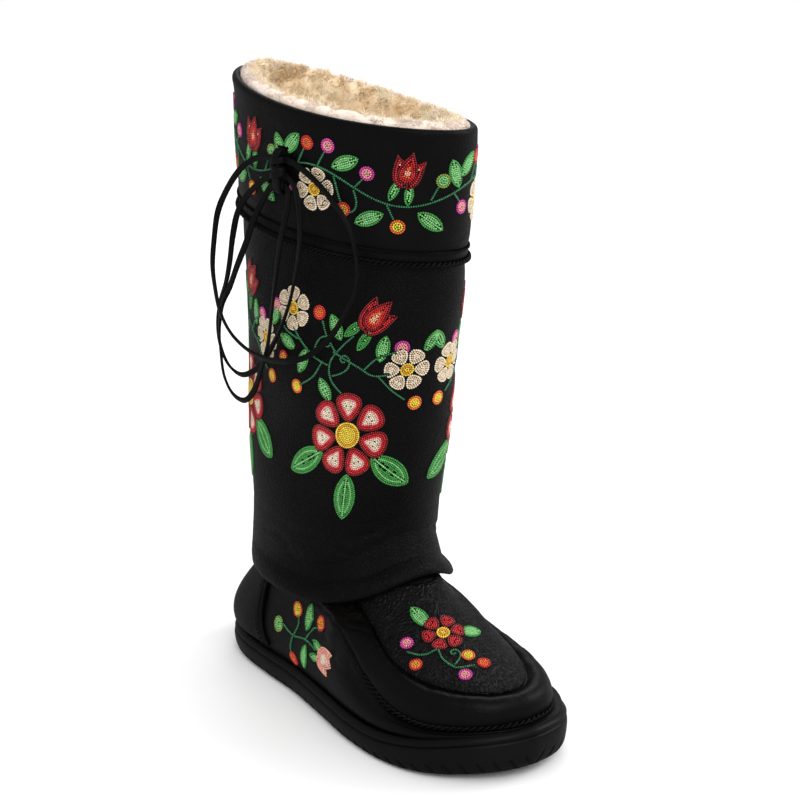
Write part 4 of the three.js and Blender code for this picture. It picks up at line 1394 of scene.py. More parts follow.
@dataclass
class HeelCounter(Part):
    """The outer heel piece with its piped front edge."""

    start: float = 1.3
    end: float = 3.85
    spread_low: float = 1.07
    spread_high: float = 0.8
    thickness: float = 1.5
    piping: float = 2.1
    stitch_inset: float = 0.045
    unevenness: float = 0.25
    broad: Rumple = Rumple(31, (40, 40, 30))

    def reach(self, row: Array) -> Array:
        """Give the half turn that the piece spans at a row."""
        share = (row - self.start) / (self.end - self.start)
        return self.spread_low + (self.spread_high - self.spread_low) * share

    def build(self) -> None:
        """Make the panel, its piping and its stitches."""
        rows, columns = 44, 140
        row = np.repeat(np.linspace(self.start, self.end, rows), columns)
        share = np.tile(np.linspace(-1, 1, columns), rows)
        turn = share * self.reach(row)
        along = (row - self.start) / (self.end - self.start)
        edge = np.minimum.reduce([along * 25, (1 - along) * 25, (1 - np.abs(share)) * 45])
        rounded = np.sqrt(1 - (1 - np.clip(edge, 0, 1)) ** 2)
        base = self.last.gap * 1.5
        belly = self.last.belly(row)
        uneven = self.unevenness * self.broad.at(self.last.foot_base(turn, row))
        top, _ = self.last.foot(turn, row, belly + base + self.last.gap + (self.thickness + uneven) * rounded)
        under, _ = self.last.foot(turn, row, base * 0.5)
        self.make("heel_panel", np.concatenate([top, under]), slab_faces(rows, columns),
                  "counter", "counter_leather", "heel_counter")
        for name, side in (("outer", 1.0), ("inner", -1.0)):
            row = np.linspace(self.start + 0.05, self.end, 60)
            face = self.last.belly(row) + base
            line, normal = self.last.foot(side * (self.reach(row) + 0.012), row, face + 1.0)
            _, wide, thick = path_frame(line, normal)
            points, quads, caps = sweep(line, wide, thick, oval_section(self.piping, self.piping, 10, 1.0))
            self.make(f"heel_piping_{name}", points, [quads, caps], "counter", "counter_leather")
            line, normal = self.last.foot(side * (self.reach(row) - self.stitch_inset), row,
                                          face + self.last.gap + self.thickness)
            points, faces = stitch_row(line, normal, 2.2, 1.1, 0.7)
            self.make(f"heel_stitches_{name}", points, [faces], "thread", "counter_leather")
        log.info("heel counter: panel, piping and stitches")


# The leg


@dataclass
class Shaft(Part):
    """The tall leather leg whose lower edge puffs out over the foot."""

    wall: float = 2.4
    columns: int = 340
    unevenness: float = 0.9
    puff_depth: float = 0.9
    tuck_depth: float = 2.2
    crease_depth: float = 0.22
    broad: Rumple = Rumple(41, (90, 90, 70))
    puff: Rumple = Rumple(42, (70, 70, 16), 20)
    fine: Rumple = Rumple(43, (22, 22, 11), 24)

    def relief(self, turn: Array, rise: Array) -> Array:
        """Give the leather's lift off the plain shaft.

        Args:
            turn: the turn of each point.
            rise: its share of the way up.

        Returns:
            The lift.
        """
        points, _ = self.last.shaft(turn, rise)
        ahead = (1 - np.cos(turn)) / 2
        low = bell(0.085, 0.06, rise) * (0.35 + 0.65 * step(0.3, 0.8, ahead))
        below_cuff = 1 - step(0.7, 0.76, rise)
        lift = self.unevenness * self.broad.at(points) * step(0, 0.1, rise) * (1 - step(0.68, 0.76, rise))
        lift = lift - self.puff_depth * low * self.puff.crease(points, 0.3)
        lift = lift - self.tuck_depth * bell(0.052, 0.022, rise) * step(0.3, 0.75, ahead)
        return lift - self.crease_depth * (low + 0.25) * self.fine.crease(points, 0.25) * below_cuff

    def build(self) -> None:
        """Make the leg's hollow skin with its turned lower edge."""
        turn = turns_of(self.columns)
        rises = np.concatenate([np.linspace(0.004, 0.2, 56), np.linspace(0.205, 0.75, 44),
                                np.linspace(0.77, 0.97, 6)])
        rings = []
        for drop, out in ((0.6, -self.wall * 0.5), (0.15, -0.5)):
            points, _ = self.last.shaft(turn, 0.004, out)
            points[:, 2] -= drop
            rings.append(points)
        for rise in rises:
            place = np.full(self.columns, rise)
            rings.append(self.last.shaft(turn, place, self.relief(turn, place))[0])
        top = self.last.rise_at(turn, 5.0)
        rings += [self.last.shaft(turn, top, 0.0)[0], self.last.shaft(turn, top, -self.wall)[0]]
        for rise in (0.85, 0.7, 0.5, 0.35, 0.21, 0.105, 0.04, 0.004):
            rings.append(self.last.shaft(turn, rise, -self.wall)[0])
        self.make("leather_shaft", np.concatenate(rings), [ring_loop(len(rings), self.columns)],
                  "shaft", "shaft_leather", "shaft")
        log.info("shaft: leg with its puffed lower edge")


@dataclass
class Cuff(Part):
    """The band round the top with its two seams and folded lip."""

    depth: float = 80.0
    wall: float = 2.2
    shaft_wall: float = 2.4
    rope_radius: float = 0.9
    tape: float = 8.0
    lip: float = 5.0
    fold: float = 3.4
    unevenness: float = 0.5
    band_depth: float = 0.3
    drawn_depth: float = 0.5
    columns: int = 300
    broad: Rumple = Rumple(51, (80, 80, 60))
    level: Rumple = Rumple(52, (120, 120, 10), 20)

    def collar_ring(self, turn: Array, up: Array, out: Array) -> tuple[Array, Array]:
        """Give points at a height above the cuff's lower edge.

        Args:
            turn: the turn of each point.
            up: its height above the lower edge.
            out: how far it stands off the shaft.

        Returns:
            The points and the directions away from the shaft.
        """
        return self.last.shaft(turn, self.last.rise_at(turn, self.depth - up), out)

    def relief(self, turn: Array, up: float) -> Array:
        """Give the leather's lift off the plain cuff.

        Args:
            turn: the turn of each point.
            up: their height above the cuff's lower edge.

        Returns:
            The lift.
        """
        points, _ = self.collar_ring(turn, up, 0.0)
        free = float(step(self.tape + 1, self.tape + 8, up) * (1 - step(70, 78, up)))
        waves = self.unevenness * self.broad.at(points) - self.band_depth * self.level.crease(points, 0.2)
        return free * waves - self.drawn_depth * (bell(self.tape, 2.4, up) + bell(1.0, 1.5, up))

    def build(self) -> None:
        """Make the band, the roped seam, the fine seam above it and the lip."""
        gap, face = self.last.gap, self.last.gap + self.wall
        inside = -(self.shaft_wall + gap)
        turn = turns_of(self.columns)
        rings = [self.collar_ring(turn, 0.0, gap)[0], self.collar_ring(turn, -0.3, gap + 1.0)[0]]
        body = np.concatenate([[0.2, 1, 2.4, 4, 5.5, 7, 8, 8.8], np.linspace(10, 74, 34)])
        for up in body:
            rings.append(self.collar_ring(turn, up, face + self.relief(turn, up))[0])
        for bend in np.linspace(0, math.pi, 12):
            across = (face + inside) / 2 + (face - inside) / 2 * math.cos(bend)
            height = self.depth - self.fold * (1 - abs(math.sin(bend)) ** 0.8)
            rings.append(self.collar_ring(turn, height, across)[0])
        shelf = self.depth - self.lip + gap * 2
        rings += [self.collar_ring(turn, shelf, inside)[0], self.collar_ring(turn, shelf, gap)[0],
                  self.collar_ring(turn, self.depth * 0.5, gap)[0]]
        self.make("leather_cuff", np.concatenate(rings), [ring_loop(len(rings), self.columns)],
                  "cuff", "cuff_leather", "cuff")
        turn = np.linspace(0, TURN, 640)
        for name, up, out, radius, pitch in (
                ("cuff_rope_seam", self.rope_radius, face + 0.5, 1.7, 7.2),
                ("cuff_fine_seam", self.tape, face + 0.15, 0.85, 4.6)):
            path, normal = self.collar_ring(turn, up, out)
            points, faces = rope(path, normal, radius, pitch, closed=True)
            self.make(name, points, faces, "cuff", "cuff_leather")
        log.info("cuff: band, two roped seams and lip")


@dataclass
class Fleece(Part):
    """The sheepskin inside the shaft, with the wool that stands round its top."""

    lump_height: float = 1.1
    rim_end: float = 0.42
    root_depth: float = 0.4
    rim_hairs: int = 11500
    deep_hairs: int = 11500
    # drop below the collar and distance off the shaft's face, from the lip over the rim and down
    section: tuple[tuple[float, float], ...] = (
        (5, -3.2), (1, -3.2), (-1.2, -4.2), (-2.6, -6.2), (-2.2, -8.6), (0.5, -10.6),
        (6, -11.4), (16, -11.4), (32, -11.2), (56, -11), (90, -11))
    # rise and distance off the shaft's face, deeper down and back up behind the pile
    hidden: tuple[tuple[float, float], ...] = (
        (0.6, -11.2), (0.3, -8), (0.12, -7.5), (0.12, -3), (0.35, -3), (0.6, -3), (0.85, -3))
    lumps: Rumple = Rumple(61, (14, 14, 12), 26)

    def profile(self, share: Array) -> tuple[Array, Array]:
        """Give the pile's surface from the lip over the rim and down inside.

        Args:
            share: the share of the way along it.

        Returns:
            The drop below the collar and the distance off the shaft's face.
        """
        table = np.array(self.section)
        place = share * (len(table) - 1)
        return smooth(table[:, 0], place), smooth(table[:, 1], place)

    def surface(self, turn: Array, share: Array, lift: Array) -> tuple[Array, Array]:
        """Give points over the pile.

        Args:
            turn: the turn of each point.
            share: its share of the way along the profile.
            lift: how far it stands off the profile.

        Returns:
            The points and the directions away from the pile.
        """
        def at(place: Array) -> Array:
            """Give the bare profile's points."""
            drop, out = self.profile(place)
            return self.last.shaft(turn, self.last.rise_at(turn, drop), out)[0]
        along = unit(at(np.minimum(share + 0.004, 1)) - at(np.maximum(share - 0.004, 0)))
        around = unit(np.stack([-np.cos(turn), -np.sin(turn) * 0.6, np.zeros(len(turn))], -1))
        normal = unit(np.cross(around, along))
        points = at(share)
        return points + normal * np.asarray(lift)[:, None], normal

    def build_base(self) -> None:
        """Make the lumpy pile."""
        columns, rows = 330, 46
        turn = turns_of(columns)
        rings, index = [], []
        for share in np.linspace(0, 1, rows) ** 1.25:
            place = np.full(columns, share)
            bare, _ = self.surface(turn, place, np.zeros(columns))
            lift = self.lump_height * self.lumps.at(bare) * float(step(0.05, 0.4, share))
            rings.append(self.surface(turn, place, lift)[0])
            index.append(np.full(columns, int(share > self.rim_end)))
        for rise, out in self.hidden:
            rings.append(self.last.shaft(turn, rise, out)[0])
            index.append(np.full(columns, 1))
        piece = build_mesh("sheepskin_pile", np.concatenate(rings), [ring_loop(len(rings), columns)],
                           [self.dressing.of("rim_wool"), self.dressing.of("wool")], np.concatenate(index))
        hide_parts("fleece_lining")

    def build_hairs(self, name: str, count: int, span: tuple[float, float], length: tuple[float, float],
                    width: float, seed: int, finish: str) -> None:
        """Make tufts of curled wool.

        Args:
            name: the piece's name.
            count: how many strands.
            span: the shares of the profile between which they grow.
            length: their shortest and longest length.
            width: a strand's width.
            seed: the random seed.
            finish: the name of their finish.
        """
        rng = np.random.default_rng(seed)
        turn = rng.uniform(0, TURN, count)
        share = rng.uniform(span[0], span[1], count)
        roots, normal = self.surface(turn, share, np.full(count, -self.root_depth))
        lean = np.stack([Rumple(seed + axis, (11, 11, 9), 12).at(roots) for axis in range(3)], -1)
        seeds = Rumple(seed + 3, (7, 7, 6), 10).at(roots) * 2.0
        size = rng.uniform(*length, count) * (1.0 + 0.3 * Rumple(seed + 4, (12, 12, 10), 12).at(roots))
        aim = unit(normal * 1.0 + lean * 0.5 + rng.normal(size=(count, 3)) * 0.3)
        swirl = unit(np.cross(aim, lean))
        levels = np.array([0.0, 0.55, 1.0])
        rings = []
        for level in levels:
            curl = swirl * (np.sin(level * 3.4 + seeds) * 0.32 - np.sin(seeds) * 0.32)[:, None]
            spot = roots + (aim * level + curl * level) * size[:, None]
            thick = width * (1.0 - 0.55 * level) if level < 1 else 0.0
            for corner in range(3 if level < 1 else 1):
                turned = corner / 3 * TURN
                across = unit(np.cross(aim, normal + 0.3)) * math.cos(turned) + swirl * math.sin(turned)
                rings.append(spot + across * thick / 2)
        points = np.stack(rings, 1).reshape(-1, 3)
        start = (np.arange(count) * 7)[:, None, None]
        quads = [[c, (c + 1) % 3, 3 + (c + 1) % 3, 3 + c] for c in range(3)]
        tips = [[3 + c, 3 + (c + 1) % 3, 6] for c in range(3)]
        faces = [(np.array(quads)[None] + start).reshape(-1, 4),
                 (np.array(tips)[None] + start).reshape(-1, 3)]
        self.make(name, points, faces, finish, "sheepskin")

    def build(self) -> None:
        """Make the pile and its strands."""
        self.build_base()
        self.build_hairs("rim_wool_strands", self.rim_hairs, (0.06, 0.44), (0.9, 2.0), 0.36, 62, "rim_wool")
        self.build_hairs("inner_wool_strands", self.deep_hairs, (0.38, 0.9), (2.4, 5.2), 0.5, 63, "wool")
        log.info("fleece: pile and %d strands", self.rim_hairs + self.deep_hairs)


# Beadwork


class Form(Enum):
    """Outlines that are filled with rows of beads."""

    PETAL = "petal"
    LEAF = "leaf"
    ROUND = "round"
    DROP = "drop"


def form_outline(form: Form, length: float, width: float) -> tuple[Array, Array]:
    """Draw an outline whose tip points along +X.

    Args:
        form: the kind of outline.
        length: its length.
        width: its width.

    Returns:
        Angles about its middle and the distance to the outline at each.
    """
    t = np.linspace(-math.pi, math.pi, 361)
    x, y = np.cos(t) * length / 2, np.sin(t) * width / 2
    if form is Form.PETAL:
        y = y * (1 + 0.38 * np.cos(t))
    elif form is Form.LEAF:
        y = y * np.abs(np.sin(t)) ** 0.45
    elif form is Form.DROP:
        y = y * (1 - 0.5 * np.cos(t)) * np.where(np.cos(t) > 0, np.abs(np.sin(t)) ** 0.5, 1)
    angle, reach = np.arctan2(y, x), np.hypot(x, y)
    order = np.argsort(angle)
    even = np.linspace(-math.pi, math.pi, 241)[:-1]
    return even, np.interp(even, angle[order], reach[order], period=TURN)


class Berry(Enum):
    """Kinds of berry, each with its outer and inner beads."""

    MAGENTA = (BeadColour.MAGENTA, BeadColour.PINK)
    ORANGE = (BeadColour.ORANGE, BeadColour.YELLOW)
    AMBER = (BeadColour.RED, BeadColour.AMBER)
    RED = (BeadColour.RED, BeadColour.ORANGE)
    GREEN = (BeadColour.OLIVE, BeadColour.LIGHT_GREEN)


@dataclass
class BeadSheet:
    """Beads laid out flat before they are sewn on: X along the leather, Y up it."""

    pitch: float = 1.28

    def __post_init__(self) -> None:
        """Start with no beads."""
        self.spots: list[tuple[float, float, int]] = []
        self.cells: dict[tuple[int, int], list[tuple[float, float]]] = {}

    def laid(self) -> tuple[Array, Array]:
        """Give the beads' flat places and their colour numbers."""
        return np.array([spot[:2] for spot in self.spots]), np.array([spot[2] for spot in self.spots])

    def sew(self, x: float, y: float, colour: BeadColour) -> None:
        """Add a bead where no other lies in its way.

        Args:
            x: its place along the leather.
            y: its place up the leather.
            colour: its colour.
        """
        cell = (math.floor(x / self.pitch), math.floor(y / self.pitch))
        for i in (-1, 0, 1):
            for j in (-1, 0, 1):
                for other in self.cells.get((cell[0] + i, cell[1] + j), ()):
                    if math.hypot(other[0] - x, other[1] - y) < self.pitch * 0.74:
                        return
        self.cells.setdefault(cell, []).append((x, y))
        self.spots.append((x, y, list(BeadColour).index(colour)))

    def line(self, points: Sequence[tuple[float, float]], colour: BeadColour) -> None:
        """Sew a line of beads along a smooth curve."""
        for x, y in curve(np.array(points, float), self.pitch):
            self.sew(float(x), float(y), colour)

    def fill(self, form: Form, x: float, y: float, angle: float, length: float, width: float,
             colours: Sequence[BeadColour]) -> None:
        """Fill an outline with rows that follow its edge.

        Args:
            form: the outline.
            x: its middle along the leather.
            y: its middle up the leather.
            angle: the direction of its tip, in degrees.
            length: its length.
            width: its width.
            colours: the colour of each row from the edge inwards, the last one for the rest.
        """
        angles, reach = form_outline(form, length, width)
        slope = np.gradient(reach, angles)
        lean = np.minimum(np.sqrt(1 + (slope / np.maximum(reach, 0.3)) ** 2), 4.0)
        turn = math.radians(angle)
        row = 0
        while True:
            left = reach - (row * self.pitch + self.pitch / 2) * lean
            if left.max() < 0:
                break
            ring = np.stack([np.cos(angles), np.sin(angles)], -1) * np.maximum(left, 0)[:, None]
            ring = np.concatenate([ring, ring[:1]])
            total = np.linalg.norm(np.diff(ring, axis=0), axis=1).sum()
            colour = colours[min(row, len(colours) - 1)]
            if total < self.pitch * 2:
                ring = ring.mean(0, keepdims=True)
            else:
                ring = evenly(ring, self.pitch)[:-1]
            for a, b in ring:
                if row and math.hypot(a, b) < self.pitch * 0.2 and len(ring) > 3:
                    continue
                self.sew(x + a * math.cos(turn) - b * math.sin(turn),
                         y + a * math.sin(turn) + b * math.cos(turn), colour)
            row += 1

    def rosette(self, x: float, y: float, radius: float, petals: int, angle: float,
                colours: Sequence[BeadColour], eye: Sequence[BeadColour]) -> None:
        """Sew a round flower.

        Args:
            x: its middle along the leather.
            y: its middle up the leather.
            radius: its radius.
            petals: how many petals it has.
            angle: the direction of the first petal, in degrees.
            colours: the petals' rows.
            eye: the middle's rows.
        """
        self.fill(Form.ROUND, x, y, 0, radius * 0.62, radius * 0.62, eye)
        for i in range(petals):
            turn = math.radians(angle + 360 * i / petals)
            reach = radius * 0.66
            self.fill(Form.PETAL, x + reach * math.cos(turn), y + reach * math.sin(turn),
                      math.degrees(turn), radius * 0.7, radius * 5.0 / (petals + 1.2), colours)

    def bellflower(self, x: float, y: float, angle: float, size: float,
                   colours: Sequence[BeadColour], calyx: Sequence[BeadColour]) -> None:
        """Sew a bell of three lobes with a green calyx behind it.

        Args:
            x: its middle along the leather.
            y: its middle up the leather.
            angle: the direction that it opens to, in degrees.
            size: its length.
            colours: the lobes' rows.
            calyx: the calyx's rows.
        """
        for spread, reach in ((0, 0.28), (34, 0.22), (-34, 0.22)):
            turn = math.radians(angle + spread)
            self.fill(Form.DROP, x + reach * size * math.cos(turn), y + reach * size * math.sin(turn),
                      angle + spread * 0.75, size * 0.72, size * 0.36, colours)
        for spread in (150, 210):
            turn = math.radians(angle + spread)
            self.fill(Form.LEAF, x + size * 0.3 * math.cos(turn), y + size * 0.3 * math.sin(turn),
                      angle + spread * 0.3 - 54, size * 0.5, size * 0.2, calyx)

    def leaf(self, x: float, y: float, angle: float, length: float, colours: Sequence[BeadColour]) -> None:
        """Sew a leaf with a light rib.

        Args:
            x: its middle along the leather.
            y: its middle up the leather.
            angle: the direction of its tip, in degrees.
            length: its length.
            colours: its rows from the edge inwards.
        """
        turn = math.radians(angle)
        reach = length * 0.4
        self.line([(x - reach * math.cos(turn), y - reach * math.sin(turn)), (x, y),
                   (x + reach * math.cos(turn), y + reach * math.sin(turn))], BeadColour.LIGHT_GREEN)
        self.fill(Form.LEAF, x, y, angle, length, length * 0.5, colours)

    def berry(self, x: float, y: float, size: float, kind: Berry) -> None:
        """Sew a round berry."""
        self.fill(Form.ROUND, x, y, 0, size, size, kind.value)

    def curl(self, x: float, y: float, angle: float, size: float, way: float) -> None:
        """Sew a vine's curling end.

        Args:
            x: its start along the leather.
            y: its start up the leather.
            angle: the direction that it sets out in, in degrees.
            size: its size.
            way: 1 to curl to the left or -1 to the right.
        """
        points = []
        spot = np.array([x, y], float)
        for i in range(12):
            points.append(tuple(spot))
            turn = math.radians(angle + way * (i * i * 3.4))
            spot = spot + np.array([math.cos(turn), math.sin(turn)]) * size * (0.24 - 0.012 * i)
        self.line(points, BeadColour.VINE)


LEAF_ROWS = (BeadColour.GREEN, BeadColour.GREEN, BeadColour.LIGHT_GREEN, BeadColour.GREEN)
SMALL_LEAF_ROWS = (BeadColour.GREEN, BeadColour.LIGHT_GREEN)
CREAM_ROWS = (BeadColour.CREAM, BeadColour.TAN, BeadColour.CREAM)
RED_ROWS = (BeadColour.DARK_RED, BeadColour.RED, BeadColour.RED, BeadColour.PINK, BeadColour.CREAM)
BELL_ROWS = (BeadColour.DARK_RED, BeadColour.RED, BeadColour.RED, BeadColour.ORANGE, BeadColour.SALMON)
PALE_ROWS = (BeadColour.SALMON, BeadColour.PINK, BeadColour.CREAM)
GOLD_EYE = (BeadColour.YELLOW, BeadColour.AMBER, BeadColour.YELLOW)


@dataclass
class Beadwork(Part):
    """The sewn beadwork: a plain floral of rosettes, bells, leaves and berries."""

    radius: float = 0.66
    height: float = 0.78
    stray: float = 0.06
    clear_of_tie: float = 15.0
    vine_height: float = 43.0
    posy_place: tuple[float, float] = (math.pi - 0.42, 9.15)
    sprig_place: tuple[float, float] = (1.4, 2.15)
    sprig_angle: float = 28.0
    # name, share of the girth from the back, height of the largest flower, way
    sprays: tuple[tuple[str, float, float, int], ...] = (
        ("outer_front", 0.385, 182, 1), ("inner_front", 0.615, 182, -1),
        ("outer_back", 0.13, 186, 1), ("inner_back", 0.87, 186, -1))

    def spray(self, sheet: BeadSheet, x: float, y: float, way: float) -> None:
        """Sew the tall spray of the leg.

        Args:
            sheet: the beads.
            x: the place of its largest flower along the leather.
            y: its height.
            way: 1 or -1, which mirrors it.
        """
        def at(a: float) -> float:
            """Mirror a place along the leather."""
            return x + way * a

        def lean(angle: float) -> float:
            """Mirror an angle."""
            return angle if way > 0 else 180 - angle

        sheet.rosette(x, y, 27, 7, 90, RED_ROWS, GOLD_EYE)
        for a, b, angle, length in ((-31, -21, 212, 32), (30, -22, -38, 32), (2, -40, -92, 30)):
            sheet.leaf(at(a), y + b, lean(angle), length, LEAF_ROWS)
        stems = (
            ((-4, 25), (-13, 34), (-14, 45), (-6, 56), (0, 62)), ((-14, 42), (-26, 46), (-38, 54), (-44, 60)),
            ((-12, 51), (4, 44), (14, 39), (24, 40)), ((-30, 48), (-40, 40), (-50, 40)),
            ((-38, 54), (-52, 58), (-58, 66)), ((8, 42), (16, 50), (26, 54)),
            ((-10, 50), (-18, 60), (-22, 68)),
            ((18, 38), (26, 30), (34, 24)), ((-20, 44), (-26, 34), (-36, 27)))
        for stem in stems:
            sheet.line([(at(a), y + b) for a, b in stem], BeadColour.VINE)
        sheet.bellflower(at(9), y + 70, lean(50), 32, BELL_ROWS, LEAF_ROWS)
        for a, b, angle in ((-46, 72, 30), (34, 43, 0)):
            sheet.rosette(at(a), y + b, 13.5, 6, angle, CREAM_ROWS, GOLD_EYE)
        sheet.curl(at(-13), y + 36, lean(20), 15, way)
        sheet.curl(at(-27), y + 46, lean(80), 15, -way)
        berries = (
            (-54, 40, Berry.AMBER), (-61, 71, Berry.MAGENTA),
            (-40, 25, Berry.ORANGE), (30, 57, Berry.MAGENTA),
            (41, 21, Berry.ORANGE), (-25, 73, Berry.RED))
        for a, b, kind in berries:
            sheet.berry(at(a), y + b, 9, kind)
        for a, b, angle, length in (
                (-35, 42, 250, 17), (-50, 51, 160, 16), (19, 56, 80, 17), (-17, 27, 120, 16),
                (-12, 66, 120, 17), (47, 60, 60, 15)):
            sheet.leaf(at(a), y + b, lean(angle), length, SMALL_LEAF_ROWS)

    def vine(self, sheet: BeadSheet, girth: float, y: float) -> None:
        """Sew the wavy vine of the cuff.

        Args:
            sheet: the beads.
            girth: the length that it runs.
            y: the height of its middle.
        """
        count = 4
        period = girth / count
        marks = np.linspace(0, girth, count * 16 + 1)
        wave = y + 8.0 * np.sin(marks / period * TURN)
        sheet.line(list(zip(marks, wave)), BeadColour.VINE)
        for i in range(count):
            x = i * period
            sheet.rosette(x + period * 0.27, y - 6, 13, 6, 15, CREAM_ROWS, GOLD_EYE)
            sheet.bellflower(x + period * 0.76, y + 7, 78, 27, BELL_ROWS, SMALL_LEAF_ROWS)
            for a, b, angle in (
                    (0.11, 17, 50), (0.45, 13, 25), (0.59, -17, 205), (0.9, -16, -35), (0.02, 12, 110)):
                sheet.leaf(x + period * a, y + b, angle, 18, SMALL_LEAF_ROWS)
            for a, b, kind in (
                    (0.35, 21, Berry.MAGENTA), (0.22, 20, Berry.RED), (0.45, -14, Berry.AMBER),
                    (0.57, 9, Berry.MAGENTA), (0.74, -20, Berry.ORANGE), (0.08, -8, Berry.MAGENTA),
                    (0.95, 8, Berry.GREEN)):
                sheet.berry(x + period * a, y + b, 8.6, kind)
                run = (x + period * a) - 3
                sheet.line([(x + period * a, y + b), (run, y + b * 0.6 + 3 * math.sin(run / period * TURN)),
                            (run - 4, y + 8 * math.sin((run - 4) / period * TURN))], BeadColour.VINE)
            sheet.curl(x + period * 0.5, y - 1, -70, 13, -1)

    def posy(self, sheet: BeadSheet) -> None:
        """Sew the small posy of the apron, about its own middle.

        Args:
            sheet: the beads.
        """
        sheet.rosette(0, 5, 13, 6, 90, RED_ROWS[:4], GOLD_EYE)
        sheet.leaf(-16, 13, 140, 18, SMALL_LEAF_ROWS)
        sheet.leaf(16, 13, 40, 18, SMALL_LEAF_ROWS)
        sheet.line([(0, -8), (5, -15), (14, -19), (23, -15)], BeadColour.VINE)
        sheet.line([(0, -8), (-8, -14), (-17, -13)], BeadColour.VINE)
        sheet.curl(12, -18, 70, 11, 1)
        for x, y, kind in (
                (18, -8, Berry.ORANGE), (20, -23, Berry.MAGENTA),
                (28, -11, Berry.RED), (-19, -7, Berry.MAGENTA),
                (-10, -21, Berry.AMBER)):
            sheet.berry(x, y, 8.2, kind)

    def sprig(self, sheet: BeadSheet) -> None:
        """Sew the sprig of the foot's side, about its own middle.

        Args:
            sheet: the beads.
        """
        sheet.line([(-24, 14), (-13, 5), (2, 0), (14, -8)], BeadColour.VINE)
        sheet.line([(-13, 5), (-6, 10), (-5, 16)], BeadColour.VINE)
        sheet.line([(2, 0), (11, 5), (18, 5)], BeadColour.VINE)
        sheet.line([(-13, 5), (-18, 0), (-20, -5)], BeadColour.VINE)
        sheet.bellflower(20, -13, -34, 26, PALE_ROWS, SMALL_LEAF_ROWS)
        for x, y, kind in (
                (-29, 15, Berry.GREEN), (-5, 20, Berry.ORANGE),
                (22, 7, Berry.AMBER), (-20, -9, Berry.RED)):
            sheet.berry(x, y, 10, kind)
        sheet.leaf(8, 13, 60, 18, SMALL_LEAF_ROWS)
        sheet.leaf(-3, -10, 235, 17, SMALL_LEAF_ROWS)

    def raise_beads(self, name: str, spots: Array, normal: Array, colours: Array, slot: str) -> None:
        """Make a dome for each bead and join them into one piece.

        Args:
            name: the piece's name.
            spots: the beads' places.
            normal: the directions away from the leather.
            colours: each bead's colour number.
            slot: the leather that they are sewn to; not used.
        """
        rng = np.random.default_rng(71)
        angle = turns_of(5)
        dome = np.concatenate([np.stack([np.cos(angle) * r, np.sin(angle) * r, np.full(5, h)], -1)
                               for r, h in ((1.05, 0.0), (0.74, 0.9))])
        quads = grid_faces(2, 5)
        tip = np.arange(5, 10)[None, :]
        side = unit(np.cross(normal, np.array([0.31, 0.22, 0.92])))
        axes = np.stack([side, np.cross(normal, side), normal], 1)
        size = self.radius * (1 + rng.normal(size=len(spots)) * self.stray)
        sizes = np.stack([size, size, np.full(len(spots), self.height)], -1)
        points, faces = scatter(dome, quads, spots, axes, sizes)
        _, tips = scatter(dome, tip, spots, axes, sizes)
        index = np.concatenate([np.repeat(colours, len(quads)), np.repeat(colours, len(tip))])
        build_mesh(name, points, [faces, tips], self.dressing.beads, index)
        log.info("%s: %d beads", name, len(spots))

    def on_leg(self, sheet: BeadSheet, out: Callable[[Array, Array], Array], by_drop: bool
               ) -> tuple[Array, Array, Array]:
        """Lay flat beads round the leg.

        Args:
            sheet: the beads.
            out: gives how far the leather's face stands out at turns and rises.
            by_drop: heights count down from the collar instead of up from the floor.

        Returns:
            Places, directions and colour numbers.
        """
        flat, colours = sheet.laid()
        turn = self.last.turn_at(flat[:, 0])
        rise = self.last.rise_at(turn, -flat[:, 1]) if by_drop else self.last.rise_of(turn, flat[:, 1])
        spots, normal = self.last.shaft(turn, rise, out(turn, rise))
        return spots, normal, colours

    def on_foot(self, sheet: BeadSheet, turn: float, row: float, angle: float,
                lift: Callable[[Array, Array], Array]) -> tuple[Array, Array, Array]:
        """Lay flat beads on the foot.

        Args:
            sheet: the beads.
            turn: the turn of their middle.
            row: the row of their middle.
            angle: how far they are turned on the leather, in degrees.
            lift: gives how far the leather's face stands off the skin.

        Returns:
            Places, directions and colour numbers.
        """
        flat, colours = sheet.laid()
        a = math.radians(angle)
        flat = flat @ np.array([[math.cos(a), math.sin(a)], [-math.sin(a), math.cos(a)]])
        base = self.last.foot_base(np.array([turn]), np.array([row]))[0]
        by_turn = self.last.foot_base(np.array([turn + 0.05]), np.array([row]))[0] - base
        by_row = self.last.foot_base(np.array([turn]), np.array([row + 0.1]))[0] - base
        east = unit(by_turn)
        north = unit(by_row - east * (by_row @ east))
        wanted = base + flat[:, :1] * east + flat[:, 1:] * north
        turns, rows = np.full(len(flat), turn), np.full(len(flat), row)
        for _ in range(14):
            spot = self.last.foot_base(turns, rows)
            along = (self.last.foot_base(turns + 0.01, rows) - spot) / 0.01
            upward = (self.last.foot_base(turns, rows + 0.02) - spot) / 0.02
            miss = wanted - spot
            a11, a22, a12 = (along ** 2).sum(1), (upward ** 2).sum(1), (along * upward).sum(1)
            b1, b2 = (along * miss).sum(1), (upward * miss).sum(1)
            scale = 1.0 / (a11 * a22 - a12 ** 2)
            turns = turns + np.clip((a22 * b1 - a12 * b2) * scale, -0.2, 0.2)
            rows = rows + np.clip((a11 * b2 - a12 * b1) * scale, -0.5, 0.5)
        spots, normal = self.last.foot(turns, rows, lift(turns, rows))
        return spots, normal, colours

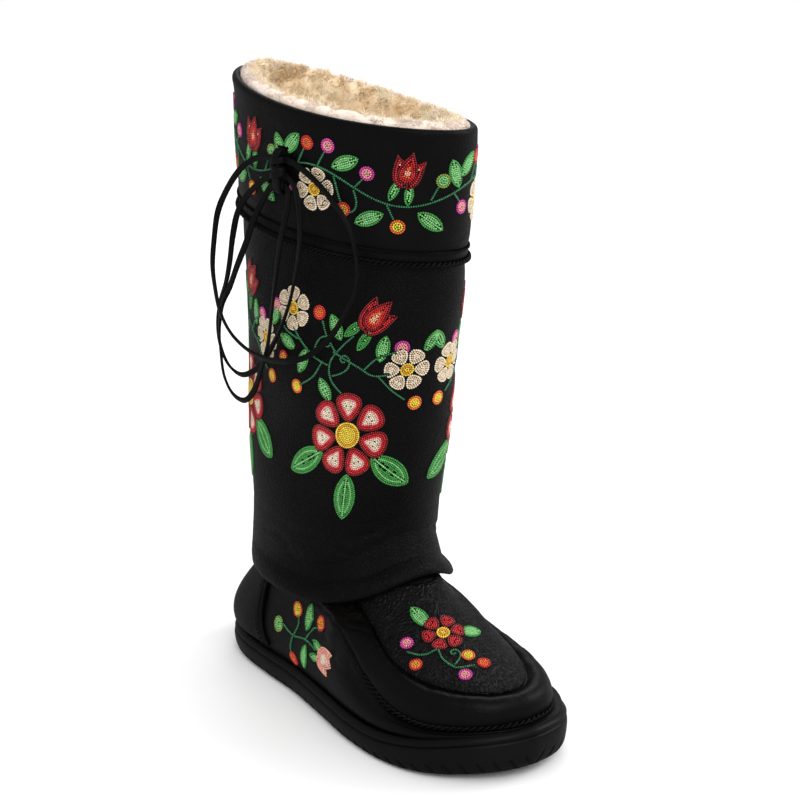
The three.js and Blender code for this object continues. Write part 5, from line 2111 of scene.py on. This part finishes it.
    def build(self, tie: Tie, shaft: Shaft, cuff: Cuff, upper: Upper, apron: Apron) -> None:
        """Sew every bead.

        Args:
            tie: the tie, which the beads stay clear of.
            shaft: the leg.
            cuff: the cuff.
            upper: the foot.
            apron: the plug.
        """
        self.last.turn_at(np.array([0.0]))
        girth = self.last.girth
        for name, share, height, way in self.sprays:
            leg = BeadSheet()
            self.spray(leg, girth * share, height, way)
            placed = self.on_leg(leg, shaft.relief, False)
            self.raise_beads(f"leg_beadwork_{name}", *placed, "shaft_leather")
        band = BeadSheet()
        self.vine(band, girth, self.vine_height - cuff.depth)

        def cuff_face(turn: Array, rise: Array) -> Array:
            """Give how far the cuff's face stands out."""
            points, _ = self.last.shaft(turn, rise)
            return cuff.last.gap + cuff.wall + cuff.unevenness * cuff.broad.at(points)

        spots, normal, colours = self.on_leg(band, cuff_face, True)
        away = np.abs(spots - tie.anchor())
        free = (away[:, 1] > 5.5) | (away[:, 2] > self.clear_of_tie)
        free |= away[:, 0] > 20
        self.raise_beads("cuff_beadwork", spots[free], normal[free], colours[free], "cuff_leather")
        posy = BeadSheet()
        self.posy(posy)
        placed = self.on_foot(posy, *self.posy_place, 0, apron.lift)
        self.raise_beads("apron_beadwork", *placed, "apron_leather")
        sprig_turn, sprig_row = self.sprig_place
        for name, turn, way in (("outer", sprig_turn, 1), ("inner", TURN - sprig_turn, -1)):
            sprig = BeadSheet()
            self.sprig(sprig)
            if way < 0:
                sprig.spots = [(-x, y, colour) for x, y, colour in sprig.spots]
            placed = self.on_foot(sprig, turn, sprig_row, self.sprig_angle * way, upper.relief)
            self.raise_beads(f"side_beadwork_{name}", *placed, "foot_leather")


def dress_insole(dressing: Dressing) -> None:
    """Give the footbed its felt.

    Args:
        dressing: the finishes.
    """
    node = bpy.data.objects["insole"]
    for place in node.material_slots:
        place.material = dressing.of("felt")
    log.info("insole: footbed in wool felt")


def main() -> None:
    """Build the studio and every piece of the boot."""
    logging.basicConfig(level=logging.INFO, format="%(name)s: %(message)s")
    last = Last()
    studio = Studio()
    studio.make_camera()
    studio.make_floor()
    studio.make_lights()
    dressing = Dressing()
    tie, upper, apron = Tie(last, dressing), Upper(last, dressing), Apron(last, dressing)
    shaft, cuff = Shaft(last, dressing), Cuff(last, dressing)
    for part in (tie, Outsole(last, dressing), upper, apron, HeelCounter(last, dressing), shaft, cuff,
                 Fleece(last, dressing)):
        part.build()
    dress_insole(dressing)
    Beadwork(last, dressing).build(tie, shaft, cuff, upper, apron)


if __name__ == "__main__":
    main()
